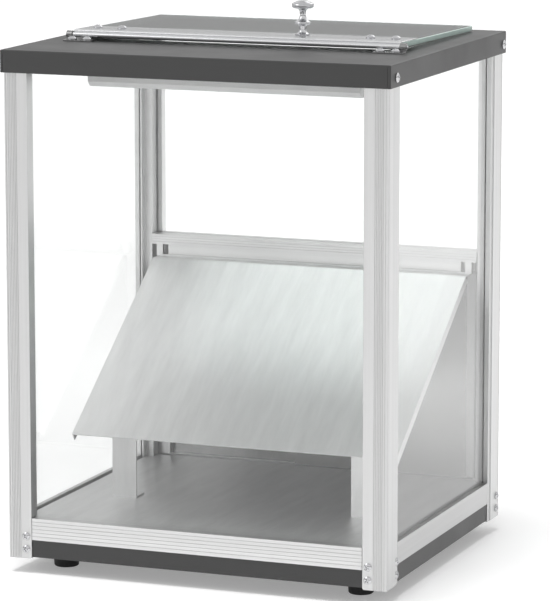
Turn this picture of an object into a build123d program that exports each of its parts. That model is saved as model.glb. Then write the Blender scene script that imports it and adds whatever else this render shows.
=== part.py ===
from build123d import *
import os
from math import asin, cos, radians, sin, tan

os.makedirs("parts", exist_ok=True)

# Glazed counter cabinet that keeps crisp snacks warm. Four aluminium corner posts and their
# rails hold fixed panes, a folded tray closes the top with a lamp under its front half, a
# hinged glass lid covers the loading opening, and a sloping chute leads to the floor. Two
# sliding doors close the serving side under the chute.
# Frame: origin on the resting plane under the cabinet's middle, +Z up, -Y is the customer's
# side, +Y the serving side. All sizes in millimetres.

# ---- Driving dimensions -----------------------------------------------------------------
TRAY_WIDTH = 460.0  # tray, along X
TRAY_DEPTH = 406.0  # tray, along Y
BODY_HEIGHT = 578.0  # post bottoms to the tray's top face
FOOT_DROP = 17.0  # post bottoms above the resting plane
SHEET = 1.6  # tray sheet
SKIRT_HEIGHT = 25.4  # tray skirt
BEND = 1.5  # rounded outer edges of folded sheet
CUT_PAST = 1.0  # cutters run this far past the faces they open

POST_FACE = 28.0  # width of a post's face flange, along X
FLANGE_DEPTH = 11.5  # post face to the pane behind it
BLOCK_WIDTH = 22.0  # main chamber of a post, along X
BLOCK_DEPTH = 30.0  # main chamber of a post, along Y
LIP_REACH = 9.0  # side lips past the main chamber
LIP_INSET = 1.0  # side lip behind the post's side face
LIP_WALL = 2.0  # inner side lip
SIDE_PANE_INSET = 6.5  # post's side face to the side pane
SLOT_FLOOR = 18.0  # bottom of the face slot, from the post's side
POST_WALL = 2.5  # walls of the post's chambers
FRONT_CHAMBER = 12.0  # chamber behind a post's face, along Y
POST_WEB = 5.0  # web between the two chambers, also a screw seat
CORNER_ROUND = 1.2  # rounded outer corner of a post
GROOVE_DEPTH = 0.6
GROOVE_WIDTH = 0.8
RIB_PITCH = 1.9
RIB_START = 5.0  # first rib groove from the post's corner
RIB_COUNT = 6
CORNER_GROOVE = 2.2  # single groove beside the outer corner

PANE = 4.0  # fixed panes
PANE_PLAY = 0.15  # each side of a pane in its slot
PANE_ENTRY = 8.0  # pane edge inside a post slot
RAIL_HEIGHT = 25.0
RAIL_WALL = 2.0
RAIL_DEPTH = 20.0
RAIL_GAP = 0.5  # rail end to post flange
RAIL_SLOT = 6.0  # depth of the pane slot in a rail
RAIL_RIBS = 5
TOP_RAIL_HEIGHT = 22.0
TONGUE_LENGTH = 20.0  # rail tongue, from its tip into the rail
TONGUE_PLAY = 0.3

PAN_SHEET = 1.2
PAN_LIFT = 2.0  # pan's underside above the post bottoms
PAN_HEIGHT = 20.0
PAN_INSET = 0.8  # pan skirt behind the post faces
PAN_EAR = 8.0  # screwed ears behind the flanges
PAN_ROUND = 5.0  # rounded skirt corners on the sides
FLOOR_SHEET = 1.2
FLOOR_DROP = 3.2  # floor plate's underside below the bottom rails' tops

FOOT_TOP = 31.0
FOOT_BOTTOM = 28.0
FOOT_IN_X = 51.0  # foot centres from the tray's sides
FOOT_IN_Y = 55.0  # foot centres from the tray's front and rear
FOOT_ROUND = 2.0
FOOT_RECESS = 11.0
FOOT_RECESS_DEPTH = 8.0
FOOT_SCREW = 4.8
FOOT_SCREW_HEAD = 9.0
FOOT_NUT_ACROSS = 8.0
NUT_HEIGHT = 3.0
NUT_ACROSS = 7.0
LID_NUT_HEIGHT = 2.2
HOLE_PLAY = 0.1  # radial clearance of screw holes

POST_SCREW_HEAD = 9.4
POST_SCREW_RISE = 2.8
POST_SCREW = 4.0
POST_SCREW_LENGTH = 14.6
CHUTE_SCREW_RISE = 2.2
SCREW_IN = 21.5  # face screws, from the post's side
SCREW_LOW = 11.0  # lower foot screw above the post bottom
SCREW_HIGH = 26.0  # upper foot screw above the post bottom
SIDE_SCREW_FRONT = 34.9  # side screws, from the front faces
SIDE_SCREW_REAR = 9.0  # side screws, from the rear faces
TRAY_SCREW_HEAD = 10.8
TRAY_SCREW_RISE = 3.2
TRAY_SCREW_FRONT = 17.0  # tray screws, from the posts' front faces
TRAY_SCREW_REAR = 8.0  # tray screws, from the posts' rear faces
TRAY_SCREW_DROP = 15.0  # below the tray's top face
TRAY_SCREW_LENGTH = 9.0

OPENING_SIDE = 55.0  # loading opening, from the tray's sides
OPENING_AHEAD = 153.0  # its front edge, from the tray's front
OPENING_BEHIND = 44.0  # its rear edge, from the tray's rear
OPENING_LIP = 12.0  # turned-down edge of the opening
OPENING_ROUND = 8.0
SEAM_INSET = 3.4  # folded seam beside the front corners
SEAM_WIDTH = 0.6

LID_SIDE = 33.0  # lid's side edges, from the tray's sides
LID_AHEAD = 131.0  # its front edge, from the tray's front
LID_BEHIND = 25.0  # its rear edge, from the tray's rear
LID_GLASS = 6.0
LID_TILT = 0.9  # degrees, falling to the rear
LID_ROUND = 3.0
PAD_HEIGHT = 0.8
PAD_SIZE = 10.0
PAD_IN = 12.0  # pad centres from the lid's edges
PAD_PLAY = 0.1  # pad over the tray
STRIP = 1.2
STRIP_DEPTH = 52.0  # strip behind the lid's front edge
HINGE_AHEAD = 4.5  # hinge axis in front of the lid's front edge
HINGE_RISE = 1.7  # hinge axis above the lid's underside
BARREL = 6.0
ROD = 3.0
RUNNING_PLAY = 0.05  # radial, rod in the lid's barrel
FIXED_PLAY = 0.02  # radial, rod in the fixed knuckles
BARREL_IN = 0.5  # barrel's ends, from the lid's side edges
KNUCKLE = 8.4  # outside the fixed knuckles
KNUCKLE_GAP = 0.5  # barrel's end to a fixed knuckle
KNUCKLE_OUT = 7.0  # fixed knuckle past the lid's side edge
ROD_OUT = 1.5  # rod past the fixed knuckle
LEAF = 1.5
LEAF_REACH = 15.5  # leaf's front edge ahead of the hinge axis
LEAF_IN = 29.0  # leaf's inner end, from the lid's side edges
LEAF_ROUND = 3.0
LID_SCREW_HEAD = 10.6
LID_SCREW_RISE = 4.0
LID_SCREW_OUTER = 16.6  # strip's outer screws, from the lid's side edges
LID_SCREW_INNER = 46.7  # strip's inner screws, from the lid's side edges
LID_SCREW_BACK = 27.5  # behind the lid's front edge
LID_SHANK = 2.0  # screws and stud below the lid's underside
BRACKET_SCREW_INNER = 8.1  # from a leaf's inner end
BRACKET_SCREW_OUTER = 9.6  # from a fixed knuckle's outer end
BRACKET_SCREW_AHEAD = 8.6  # ahead of the hinge axis
KNOB_X = 68.0
KNOB_BACK = 32.0  # behind the lid's front edge
KNOB_HEAD = 25.0
KNOB_HEIGHT = 39.5

HOUSING_AHEAD = 91.0  # lamp housing's front, from the tray's front
HOUSING_DEPTH = 48.0  # lamp housing, along Y
HOUSING_SIDE = 67.0  # its ends, from the tray's sides
HOUSING_DROP = 48.0  # lamp housing's bottom below the tray's top face
HOUSING_SHEET = 1.0
HOUSING_CHAMFER = 6.0
HOUSING_WINDOW = 26.0  # light window, along Y
HOUSING_EAR = 9.0
STUD = 4.0
STUD_AHEAD = 12.0  # front studs behind the housing's front
STUD_BEHIND = 11.0  # rear studs ahead of the housing's rear
LAMP_TUBE = 12.0
LAMP_ROUND = 3.0
LAMP_END = 28.0  # lamp's ends, from the housing's ends
LAMP_DROP = 26.0  # lamp axis below the tray's top face
REFLECTOR = 0.8
REFLECTOR_LIP = 3.0
REFLECTOR_CROWN = 12.0  # half width of the reflector's flat top
REFLECTOR_END = 8.0  # past the lamp's ends
HOLDER_BLOCK = 8.5  # holder's block, from the lamp's end
HOLDER_GAP = 1.0  # block to the housing's end wall
HOLDER_HALF = 9.0  # half width of the block, and its top above the lamp axis
HOLDER_WALL = 2.5
HOLDER_GRIP = 6.0  # lamp's end inside the sleeve
HOLDER_SLEEVE = 12.0  # sleeve past the lamp's end
DUCT_SIDE = 39.0  # duct's middle, from the tray's side
DUCT_WIDTH = 16.0
DUCT_HEIGHT = 12.0
DUCT_GAP = 6.0  # lamp housing to the duct
DUCT_SHORT = 4.0  # duct's rear end ahead of the opening's rear edge
DUCT_STUD_AHEAD = 28.0  # front stud behind the duct's front end
DUCT_STUD_BEHIND = 35.0  # rear stud ahead of the duct's rear end

MIDDLE_TOP = 320.0  # rear middle rail's top above the post bottoms
MIDDLE_HEIGHT = 26.0
MIDDLE_FRONT = 31.8  # its inner face, from the posts' rear faces
MIDDLE_BACK = 2.0  # its outer face, from the posts' rear faces
MIDDLE_BAND = 12.0  # ribbed upper band
MIDDLE_RECESS = 3.0
MIDDLE_RIBS = 3
MIDDLE_END = 8.0  # closed ends of its recess
MIDDLE_NOTCH = 6.0  # open notch beside each closed end
DOOR = 2.5
DOOR_PLAY = 0.5  # each side of a door in its channel
DOOR_OUTER = 5.5  # outer door, from the posts' rear faces
DOOR_INNER = 12.4  # inner door, from the posts' rear faces
DOOR_LIFT = 10.0  # depth of the upper door channels
DOOR_HOLD = 6.0  # door inside the upper channel
DOOR_END_PLAY = 0.8  # door edge to jamb base
DOOR_OVERLAP = 26.0  # doors past the middle
JAMB_WIDTH = 10.0
JAMB_WALL = 1.4
PULL_FLANGE = 32.0
PULL_HOLE = 22.0
PULL_RISE = 1.2
PULL_ROUND = 0.4
PULL_IN = 60.0  # pull centre from the door's outer edge
PULL_HEIGHT = 222.0  # pull centre above the post bottoms

CHUTE_SHEET = 1.2
CHUTE_IN = 30.4  # chute's side edges, from the posts' sides
CHUTE_BEND = 46.8  # bend, from the posts' rear faces
CHUTE_AHEAD = 109.8  # lower edge, from the posts' front faces
CHUTE_SLOPE = 35.0  # degrees below the horizontal
CHUTE_LEDGE = 26.0  # ledge under the middle rail
LEDGE_SCREW = 5.0  # screws ahead of the ledge's rear edge
CHUTE_SIDE = 10.0  # turned-down side edges
LEG_SHEET = 2.0
LEG_WIDTH = 30.0
LEG_IN = 49.0  # legs' middles, from the chute's side edges
LEG_BACK = 38.0  # leg's upright behind the chute's lower edge
LEG_FLANGE = 22.0

SWITCH_SIDE = 98.0  # switch centre, from the tray's side
SWITCH_DROP = 10.5  # switch centre below the tray's top face
BEZEL_WIDTH = 18.0
BEZEL_HEIGHT = 12.0
BEZEL_RISE = 1.6
SWITCH_WIDTH = 13.5
SWITCH_HEIGHT = 8.4
SWITCH_DEPTH = 17.0
SWITCH_POCKET = 4.0
ROCKER_WIDTH = 10.4
ROCKER_HEIGHT = 6.2
ROCKER_RISE = 2.6
ROCKER_PLAY = 0.4
ROCKER_HUB = 4.8
ROCKER_TILT = 8.0  # degrees either side of level
GLAND_SIDE = 58.0  # gland centre, from the tray's side
GLAND_FLANGE = 15.0
GLAND_NECK = 10.0
GLAND_BORE = 7.0
GLAND_RISE = 6.5
GLAND_ROUND = 2.5
GLAND_PAST = 2.0  # neck's end past the cut-outs
TERMINAL_SIDE = 88.0  # terminal block's inner end, from the tray's side
TERMINAL_WIDTH = 24.0
TERMINAL_HEIGHT = 11.0
TERMINAL_GAP = 1.0
TERMINAL_WAYS = 3
TERMINAL_HOLE = 3.6
TERMINAL_HOLE_DEPTH = 4.0

# ---- Values worked out from them --------------------------------------------------------
HEM = 2 * SHEET
POST_X = TRAY_WIDTH / 2 - HEM
POST_Y = TRAY_DEPTH / 2 - HEM
POST_BASE = FOOT_DROP
TRAY_TOP = POST_BASE + BODY_HEIGHT
POST_TOP = TRAY_TOP - SHEET
SKIRT_BOTTOM = TRAY_TOP - SKIRT_HEIGHT
SLOT = PANE + 2 * PANE_PLAY
POST_DEPTH = BLOCK_DEPTH + LIP_REACH
PAN_BOTTOM = POST_BASE + PAN_LIFT
RAIL_BASE = PAN_BOTTOM + PAN_HEIGHT
RAIL_TOP = RAIL_BASE + RAIL_HEIGHT
RAIL_END_X = POST_X - POST_FACE - RAIL_GAP
RAIL_END_Y = POST_Y - POST_DEPTH - RAIL_GAP
TOP_RAIL_BASE = POST_TOP - TOP_RAIL_HEIGHT
PANE_EDGE_X = POST_X - POST_FACE + PANE_ENTRY
PANE_EDGE_Y = POST_Y - POST_DEPTH + PANE_ENTRY
PANE_BOTTOM = RAIL_TOP - RAIL_SLOT + TONGUE_PLAY
PANE_TOP = TOP_RAIL_BASE + RAIL_SLOT - TONGUE_PLAY
FLOOR_SEAT = RAIL_HEIGHT - FLOOR_DROP  # inner rail wall above the rail base
FLOOR_BOTTOM = RAIL_BASE + FLOOR_SEAT
FLOOR_TOP = FLOOR_BOTTOM + FLOOR_SHEET
MIDDLE_BASE = POST_BASE + MIDDLE_TOP - MIDDLE_HEIGHT
DOOR_BOTTOM = RAIL_TOP - RAIL_SLOT + TONGUE_PLAY
DOOR_TOP = MIDDLE_BASE + DOOR_HOLD
FOOT_X = TRAY_WIDTH / 2 - FOOT_IN_X
FOOT_Y = TRAY_DEPTH / 2 - FOOT_IN_Y
OPENING_HALF = TRAY_WIDTH / 2 - OPENING_SIDE
OPENING_FRONT = OPENING_AHEAD - TRAY_DEPTH / 2
OPENING_REAR = TRAY_DEPTH / 2 - OPENING_BEHIND
LID_HALF = TRAY_WIDTH / 2 - LID_SIDE
LID_REAR = TRAY_DEPTH / 2 - LID_BEHIND
LID_DEPTH = TRAY_DEPTH - LID_AHEAD - LID_BEHIND
LID_BASE = TRAY_TOP + PAD_HEIGHT + PAD_PLAY
BARREL_HALF = LID_HALF - BARREL_IN
KNUCKLE_START = BARREL_HALF + KNUCKLE_GAP
KNUCKLE_END = LID_HALF + KNUCKLE_OUT
LEAF_START = LID_HALF - LEAF_IN
ROD_HALF = KNUCKLE_END + ROD_OUT
HOUSING_FRONT = HOUSING_AHEAD - TRAY_DEPTH / 2
HOUSING_REAR = HOUSING_FRONT + HOUSING_DEPTH
HOUSING_HALF = TRAY_WIDTH / 2 - HOUSING_SIDE
LAMP_HALF = HOUSING_HALF - LAMP_END
CHUTE_HALF = POST_X - CHUTE_IN
CHUTE_BEND_Y = POST_Y - CHUTE_BEND
LEG_X = CHUTE_HALF - LEG_IN
CORNERS = {
    "front_left": (-1, -1),
    "front_right": (1, -1),
    "rear_left": (-1, 1),
    "rear_right": (1, 1),
}
WALLS = {"front": (0, -1), "rear": (0, 1), "left": (-1, 0), "right": (1, 0)}


def block(x0, x1, y0, y1, z0, z1, mode=Mode.ADD):
    """Box between its limits along the three axes."""
    with Locations(((x0 + x1) / 2, (y0 + y1) / 2, (z0 + z1) / 2)):
        Box(x1 - x0, y1 - y0, z1 - z0, mode=mode)


def area(x0, x1, y0, y1, mode=Mode.ADD):
    """Rectangle between its limits in the current sketch."""
    with Locations(((x0 + x1) / 2, (y0 + y1) / 2)):
        Rectangle(x1 - x0, y1 - y0, mode=mode)


def corner_point(side, end, u, v):
    """Plan point u inwards along X and v inwards along Y from a post's outer corner."""
    return (side * (POST_X - u), end * (POST_Y - v))


def corner_area(side, end, u0, u1, v0, v1, mode=Mode.ADD):
    """Plan rectangle given by its distances from a post's outer corner."""
    x0, y0 = corner_point(side, end, u0, v0)
    x1, y1 = corner_point(side, end, u1, v1)
    area(min(x0, x1), max(x0, x1), min(y0, y1), max(y0, y1), mode=mode)


def corner_block(side, end, u0, u1, v0, v1, z0, z1, mode=Mode.ADD):
    """Box given by its distances from a post's outer corner and its heights."""
    x0, y0 = corner_point(side, end, u0, v0)
    x1, y1 = corner_point(side, end, u1, v1)
    block(min(x0, x1), max(x0, x1), min(y0, y1), max(y0, y1), z0, z1, mode=mode)


def wall_plane(across, along, z):
    """Cross-section of a wall: local x runs inwards from the post faces, local y runs up."""
    origin = (across * POST_X, along * POST_Y, z)
    return Plane(origin=origin, x_dir=(-across, -along, 0), z_dir=(-along, across, 0))


def bore(plane, diameter, depth):
    """Hole into the material behind a plane that looks outwards."""
    with BuildSketch(plane) as mouth:
        Circle(diameter / 2)
    extrude(mouth.sketch, amount=-depth, mode=Mode.SUBTRACT)


# ---- Fastener positions: every plane lies on the screwed face and looks outwards --------
def face_screws(side, end, heights):
    """Planes of the screws through a post's face flange."""
    x = side * (POST_X - SCREW_IN)
    return [Plane(origin=(x, end * POST_Y, z), z_dir=(0, end, 0)) for z in heights]


def side_screws(side, end, heights):
    """Planes of the screws through a post's side: through the lip in front, the wall behind."""
    if end < 0:
        x, y = corner_point(side, end, LIP_INSET, SIDE_SCREW_FRONT)
    else:
        x, y = corner_point(side, end, 0, SIDE_SCREW_REAR)
    return [Plane(origin=(x, y, z), z_dir=(side, 0, 0)) for z in heights]


def tray_screws(side, end):
    """Planes of the screws through the tray's side skirt into a post."""
    v = TRAY_SCREW_FRONT if end < 0 else TRAY_SCREW_REAR
    y = corner_point(side, end, 0, v)[1]
    origin = (side * TRAY_WIDTH / 2, y, TRAY_TOP - TRAY_SCREW_DROP)
    return [Plane(origin=origin, z_dir=(side, 0, 0))]


FOOT_HEIGHTS = (POST_BASE + SCREW_LOW, POST_BASE + SCREW_HIGH)
POST_SCREW_PLANES = []
TRAY_SCREW_PLANES = []
for side, end in CORNERS.values():
    POST_SCREW_PLANES += face_screws(side, end, FOOT_HEIGHTS)
    POST_SCREW_PLANES += side_screws(side, end, FOOT_HEIGHTS)
    TRAY_SCREW_PLANES += tray_screws(side, end)


def drill_post_screws():
    """Clearance holes of the post screws in the current piece."""
    for plane in POST_SCREW_PLANES:
        bore(plane, POST_SCREW + 2 * HOLE_PLAY, POST_SCREW_LENGTH + CUT_PAST)


def dome_point(half_width, base, top):
    """Middle point of a spherical dome's arc from its rim to the axis."""
    height = top - base
    radius = (half_width**2 + height**2) / (2 * height)
    turn = asin(half_width / radius) / 2
    return (radius * sin(turn), top - radius + radius * cos(turn))


RIM_SHARE = 0.35  # straight rim of a screw head, as a share of its rise
CROSS_DEPTH = 0.5  # cross recess, as a share of the head's rise
CROSS_LENGTH = 0.55  # cross recess, as shares of the head's width
CROSS_WIDTH = 0.12


def turned_screw(head, rise, shank, length):
    """Cross-head screw with a domed head, standing on the plane z = 0."""
    half_head = head / 2
    half_shank = shank / 2
    rim = RIM_SHARE * rise
    with BuildPart() as screw:
        with BuildSketch(Plane.XZ):
            with BuildLine():
                Polyline((0, rise), (0, -length), (half_shank, -length), (half_shank, 0))
                Polyline((half_shank, 0), (half_head, 0), (half_head, rim))
                ThreePointArc((half_head, rim), dome_point(half_head, rim, rise), (0, rise))
            make_face()
        revolve(axis=Axis.Z)
        with BuildSketch(Plane.XY.offset(rise)):
            Rectangle(CROSS_LENGTH * head, CROSS_WIDTH * head)
            Rectangle(CROSS_WIDTH * head, CROSS_LENGTH * head)
        extrude(amount=-CROSS_DEPTH * rise, mode=Mode.SUBTRACT)
    return screw.part


def hex_nut(across, height, thread):
    """Hexagon nut standing on the plane z = 0."""
    with BuildPart() as nut:
        with BuildSketch():
            RegularPolygon(across / 2, 6, major_radius=False)
            Circle(thread / 2, mode=Mode.SUBTRACT)
        extrude(amount=height)
    return nut.part


# ---- Corner posts: hollow ribbed aluminium extrusions -----------------------------------
def make_post(side, end):
    """One post: face flange, two chambers, a face slot and a side slot for the panes."""
    slot_back = FLANGE_DEPTH + SLOT
    inner_lip = SIDE_PANE_INSET + SLOT
    outline = [
        (0, 0),
        (POST_FACE, 0),
        (POST_FACE, FLANGE_DEPTH),
        (SLOT_FLOOR, FLANGE_DEPTH),
        (SLOT_FLOOR, slot_back),
        (BLOCK_WIDTH, slot_back),
        (BLOCK_WIDTH, BLOCK_DEPTH),
        (inner_lip + LIP_WALL, BLOCK_DEPTH),
        (inner_lip + LIP_WALL, POST_DEPTH),
        (inner_lip, POST_DEPTH),
        (inner_lip, BLOCK_DEPTH),
        (SIDE_PANE_INSET, BLOCK_DEPTH),
        (SIDE_PANE_INSET, POST_DEPTH),
        (LIP_INSET, POST_DEPTH),
        (LIP_INSET, BLOCK_DEPTH),
        (0, BLOCK_DEPTH),
    ]
    web_start = POST_WALL + FRONT_CHAMBER
    with BuildPart() as post:
        with BuildSketch(Plane.XY.offset(POST_BASE)) as plan:
            with BuildLine():
                Polyline(*[corner_point(side, end, u, v) for u, v in outline], close=True)
            make_face()
            outer = plan.vertices().sort_by_distance(corner_point(side, end, 0, 0))[0]
            fillet(outer, CORNER_ROUND)
            cut = Mode.SUBTRACT
            front_chamber = (POST_WALL, SLOT_FLOOR - POST_WALL, POST_WALL, web_start)
            corner_area(side, end, *front_chamber, mode=cut)
            back_start = web_start + POST_WEB
            back_end = BLOCK_DEPTH - POST_WALL
            back_chamber = (POST_WALL, BLOCK_WIDTH - POST_WALL, back_start, back_end)
            corner_area(side, end, *back_chamber, mode=cut)
            grooves = [CORNER_GROOVE] + [RIB_START + RIB_PITCH * i for i in range(RIB_COUNT)]
            for u in grooves:
                corner_area(side, end, u, u + GROOVE_WIDTH, 0, GROOVE_DEPTH, mode=cut)
            side_groove = (0, GROOVE_DEPTH, CORNER_GROOVE, CORNER_GROOVE + GROOVE_WIDTH)
            corner_area(side, end, *side_groove, mode=cut)
        extrude(amount=POST_TOP - POST_BASE)
        foot_edge = (*corner_point(side, end, POST_FACE, FLANGE_DEPTH / 2), POST_BASE)
        fillet(post.edges().filter_by(Axis.Y).sort_by_distance(foot_edge)[0], 2 * CORNER_ROUND)
        drill_post_screws()
        for plane in TRAY_SCREW_PLANES:
            bore(plane, POST_SCREW + 2 * HOLE_PLAY, HEM + TRAY_SCREW_LENGTH + CUT_PAST)
    return post


for name, (side, end) in CORNERS.items():
    post = make_post(side, end)
    post.part.label = f"post_{name}"
    export_step(post.part, f"parts/post_{name}.step")


# ---- Rails: hollow extrusions between the posts, with tongues in the posts' slots -------
def make_rail(wall, z, outline, hollows, ribs, tongue_heights):
    """Rail along one wall from a cross-section given as depth and height."""
    across, along = WALLS[wall]
    faces_y = across == 0
    half = RAIL_END_X if faces_y else RAIL_END_Y
    tip = PANE_EDGE_X if faces_y else PANE_EDGE_Y
    slot_start = FLANGE_DEPTH if faces_y else SIDE_PANE_INSET
    plane = wall_plane(across, along, z)
    with BuildPart() as rail:
        with BuildSketch(plane):
            with BuildLine():
                Polyline(*outline, close=True)
            make_face()
            for hollow in hollows + ribs:
                area(*hollow, mode=Mode.SUBTRACT)
        extrude(amount=half, both=True)
        for sense in (-1, 1):
            with BuildSketch(plane.offset(sense * tip)):
                back = slot_start + SLOT - TONGUE_PLAY
                area(slot_start + TONGUE_PLAY, back, *tongue_heights)
            extrude(amount=-sense * TONGUE_LENGTH)
        drill_post_screws()
    return rail


def bottom_rail_outline(start, slot):
    """Cross-section of a bottom rail from its outer face, with the pane slot in its top."""
    return [
        (start, 0),
        (start, RAIL_HEIGHT),
        (slot, RAIL_HEIGHT),
        (slot, RAIL_HEIGHT - RAIL_SLOT),
        (slot + SLOT, RAIL_HEIGHT - RAIL_SLOT),
        (slot + SLOT, FLOOR_SEAT),
        (RAIL_DEPTH, FLOOR_SEAT),
        (RAIL_DEPTH, 0),
    ]


def top_rail_outline(start, slot):
    """Cross-section of a top rail from its outer face, with the pane slot in its underside."""
    return [
        (start, 0),
        (start, TOP_RAIL_HEIGHT),
        (RAIL_DEPTH, TOP_RAIL_HEIGHT),
        (RAIL_DEPTH, 0),
        (slot + SLOT, 0),
        (slot + SLOT, RAIL_SLOT),
        (slot, RAIL_SLOT),
        (slot, 0),
    ]


def groove_areas(near, far, base, height, count):
    """Shallow horizontal grooves of a face, spread over a height from a base."""
    heights = [base + height * (i + 1) / (count + 1) for i in range(count)]
    return [(near, far, z, z + GROOVE_WIDTH) for z in heights]


slot_floor = RAIL_HEIGHT - RAIL_SLOT
tongue_low = (0, slot_floor - TONGUE_PLAY)
tongue_high = (RAIL_SLOT + TONGUE_PLAY, TOP_RAIL_HEIGHT)
inner_hollow = (FLANGE_DEPTH, RAIL_DEPTH - RAIL_WALL, RAIL_WALL, slot_floor - RAIL_WALL)
outer_hollow = (RAIL_WALL, FLANGE_DEPTH - RAIL_WALL, RAIL_WALL, RAIL_HEIGHT - RAIL_WALL)
side_start = LIP_INSET + RAIL_WALL
side_hollow = (side_start, RAIL_DEPTH - RAIL_WALL, RAIL_WALL, slot_floor - RAIL_WALL)
top_outer_hollow = (RAIL_WALL, FLANGE_DEPTH - RAIL_WALL, RAIL_WALL, TOP_RAIL_HEIGHT - RAIL_WALL)

front_bottom_rail = make_rail(
    "front",
    RAIL_BASE,
    bottom_rail_outline(0, FLANGE_DEPTH),
    [inner_hollow, outer_hollow],
    groove_areas(0, GROOVE_DEPTH, 0, RAIL_HEIGHT, RAIL_RIBS),
    tongue_low,
)
front_bottom_rail.part.label = "front_bottom_rail"
export_step(front_bottom_rail.part, "parts/front_bottom_rail.step")

for wall in ("left", "right"):
    side_rail = make_rail(
        wall, RAIL_BASE, bottom_rail_outline(LIP_INSET, SIDE_PANE_INSET), [side_hollow], [], tongue_low
    )
    side_rail.part.label = f"{wall}_bottom_rail"
    export_step(side_rail.part, f"parts/{wall}_bottom_rail.step")

door_slots = [(d - DOOR_PLAY, d + DOOR + DOOR_PLAY) for d in (DOOR_OUTER, DOOR_INNER)]
rear_outline = [(0, 0), (0, RAIL_HEIGHT)]
for start, stop in door_slots:
    rear_outline += [(start, RAIL_HEIGHT), (start, slot_floor)]
    rear_outline += [(stop, slot_floor), (stop, RAIL_HEIGHT)]
rear_outline[-1] = (door_slots[1][1], FLOOR_SEAT)
rear_outline += [(RAIL_DEPTH, FLOOR_SEAT), (RAIL_DEPTH, 0)]
rear_hollow = (RAIL_WALL, FLANGE_DEPTH - RAIL_WALL, RAIL_WALL, slot_floor - RAIL_WALL)
rear_bottom_rail = make_rail(
    "rear", RAIL_BASE, rear_outline, [inner_hollow, rear_hollow], [], tongue_low
)
rear_bottom_rail.part.label = "rear_bottom_rail"
export_step(rear_bottom_rail.part, "parts/rear_bottom_rail.step")

for wall in ("front", "left", "right"):
    start = 0 if wall == "front" else LIP_INSET
    slot = FLANGE_DEPTH if wall == "front" else SIDE_PANE_INSET
    hollows = [top_outer_hollow] if wall == "front" else []
    top_rail = make_rail(
        wall, TOP_RAIL_BASE, top_rail_outline(start, slot), hollows, [], tongue_high
    )
    top_rail.part.label = f"{wall}_top_rail"
    export_step(top_rail.part, f"parts/{wall}_top_rail.step")

switch_z = TRAY_TOP - SWITCH_DROP
rear_face = Plane(origin=(0, TRAY_DEPTH / 2, switch_z), x_dir=(-1, 0, 0), z_dir=(0, 1, 0))
switch_plane = rear_face.shift_origin((TRAY_WIDTH / 2 - SWITCH_SIDE, TRAY_DEPTH / 2, switch_z))
gland_plane = rear_face.shift_origin((TRAY_WIDTH / 2 - GLAND_SIDE, TRAY_DEPTH / 2, switch_z))
rear_reach = HEM + RAIL_DEPTH + CUT_PAST


def cut_rear_services():
    """Openings for the switch body and the cable gland in the current piece."""
    with BuildSketch(switch_plane) as cutout:
        Rectangle(SWITCH_WIDTH + 2 * HOLE_PLAY, SWITCH_HEIGHT + 2 * HOLE_PLAY)
    extrude(cutout.sketch, amount=-rear_reach, mode=Mode.SUBTRACT)
    bore(gland_plane, GLAND_NECK + 2 * HOLE_PLAY, rear_reach)


rear_blank = make_rail(
    "rear", TOP_RAIL_BASE, top_rail_outline(0, FLANGE_DEPTH), [top_outer_hollow], [], tongue_high
)
with BuildPart() as rear_top_rail:
    add(rear_blank.part)
    cut_rear_services()
rear_top_rail.part.label = "rear_top_rail"
export_step(rear_top_rail.part, "parts/rear_top_rail.step")


# ---- Rear middle rail: ribbed band, pane slot in its top and door channels beneath ------
band_base = MIDDLE_HEIGHT - MIDDLE_BAND
middle_floor = MIDDLE_HEIGHT - RAIL_SLOT
middle_outline = [
    (MIDDLE_BACK, 0),
    (MIDDLE_BACK, MIDDLE_HEIGHT),
    (FLANGE_DEPTH, MIDDLE_HEIGHT),
    (FLANGE_DEPTH, middle_floor),
    (FLANGE_DEPTH + SLOT, middle_floor),
    (FLANGE_DEPTH + SLOT, MIDDLE_HEIGHT),
    (MIDDLE_FRONT, MIDDLE_HEIGHT),
    (MIDDLE_FRONT, band_base),
    (MIDDLE_FRONT - MIDDLE_RECESS, band_base),
    (MIDDLE_FRONT - MIDDLE_RECESS, RAIL_WALL),
    (MIDDLE_FRONT, RAIL_WALL),
    (MIDDLE_FRONT, 0),
]
for start, stop in reversed(door_slots):
    middle_outline += [(stop, 0), (stop, DOOR_LIFT), (start, DOOR_LIFT), (start, 0)]
middle_plane = wall_plane(0, 1, MIDDLE_BASE)
middle_groove = MIDDLE_FRONT - GROOVE_DEPTH
middle_grooves = groove_areas(middle_groove, MIDDLE_FRONT, band_base, MIDDLE_BAND, MIDDLE_RIBS)
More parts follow.
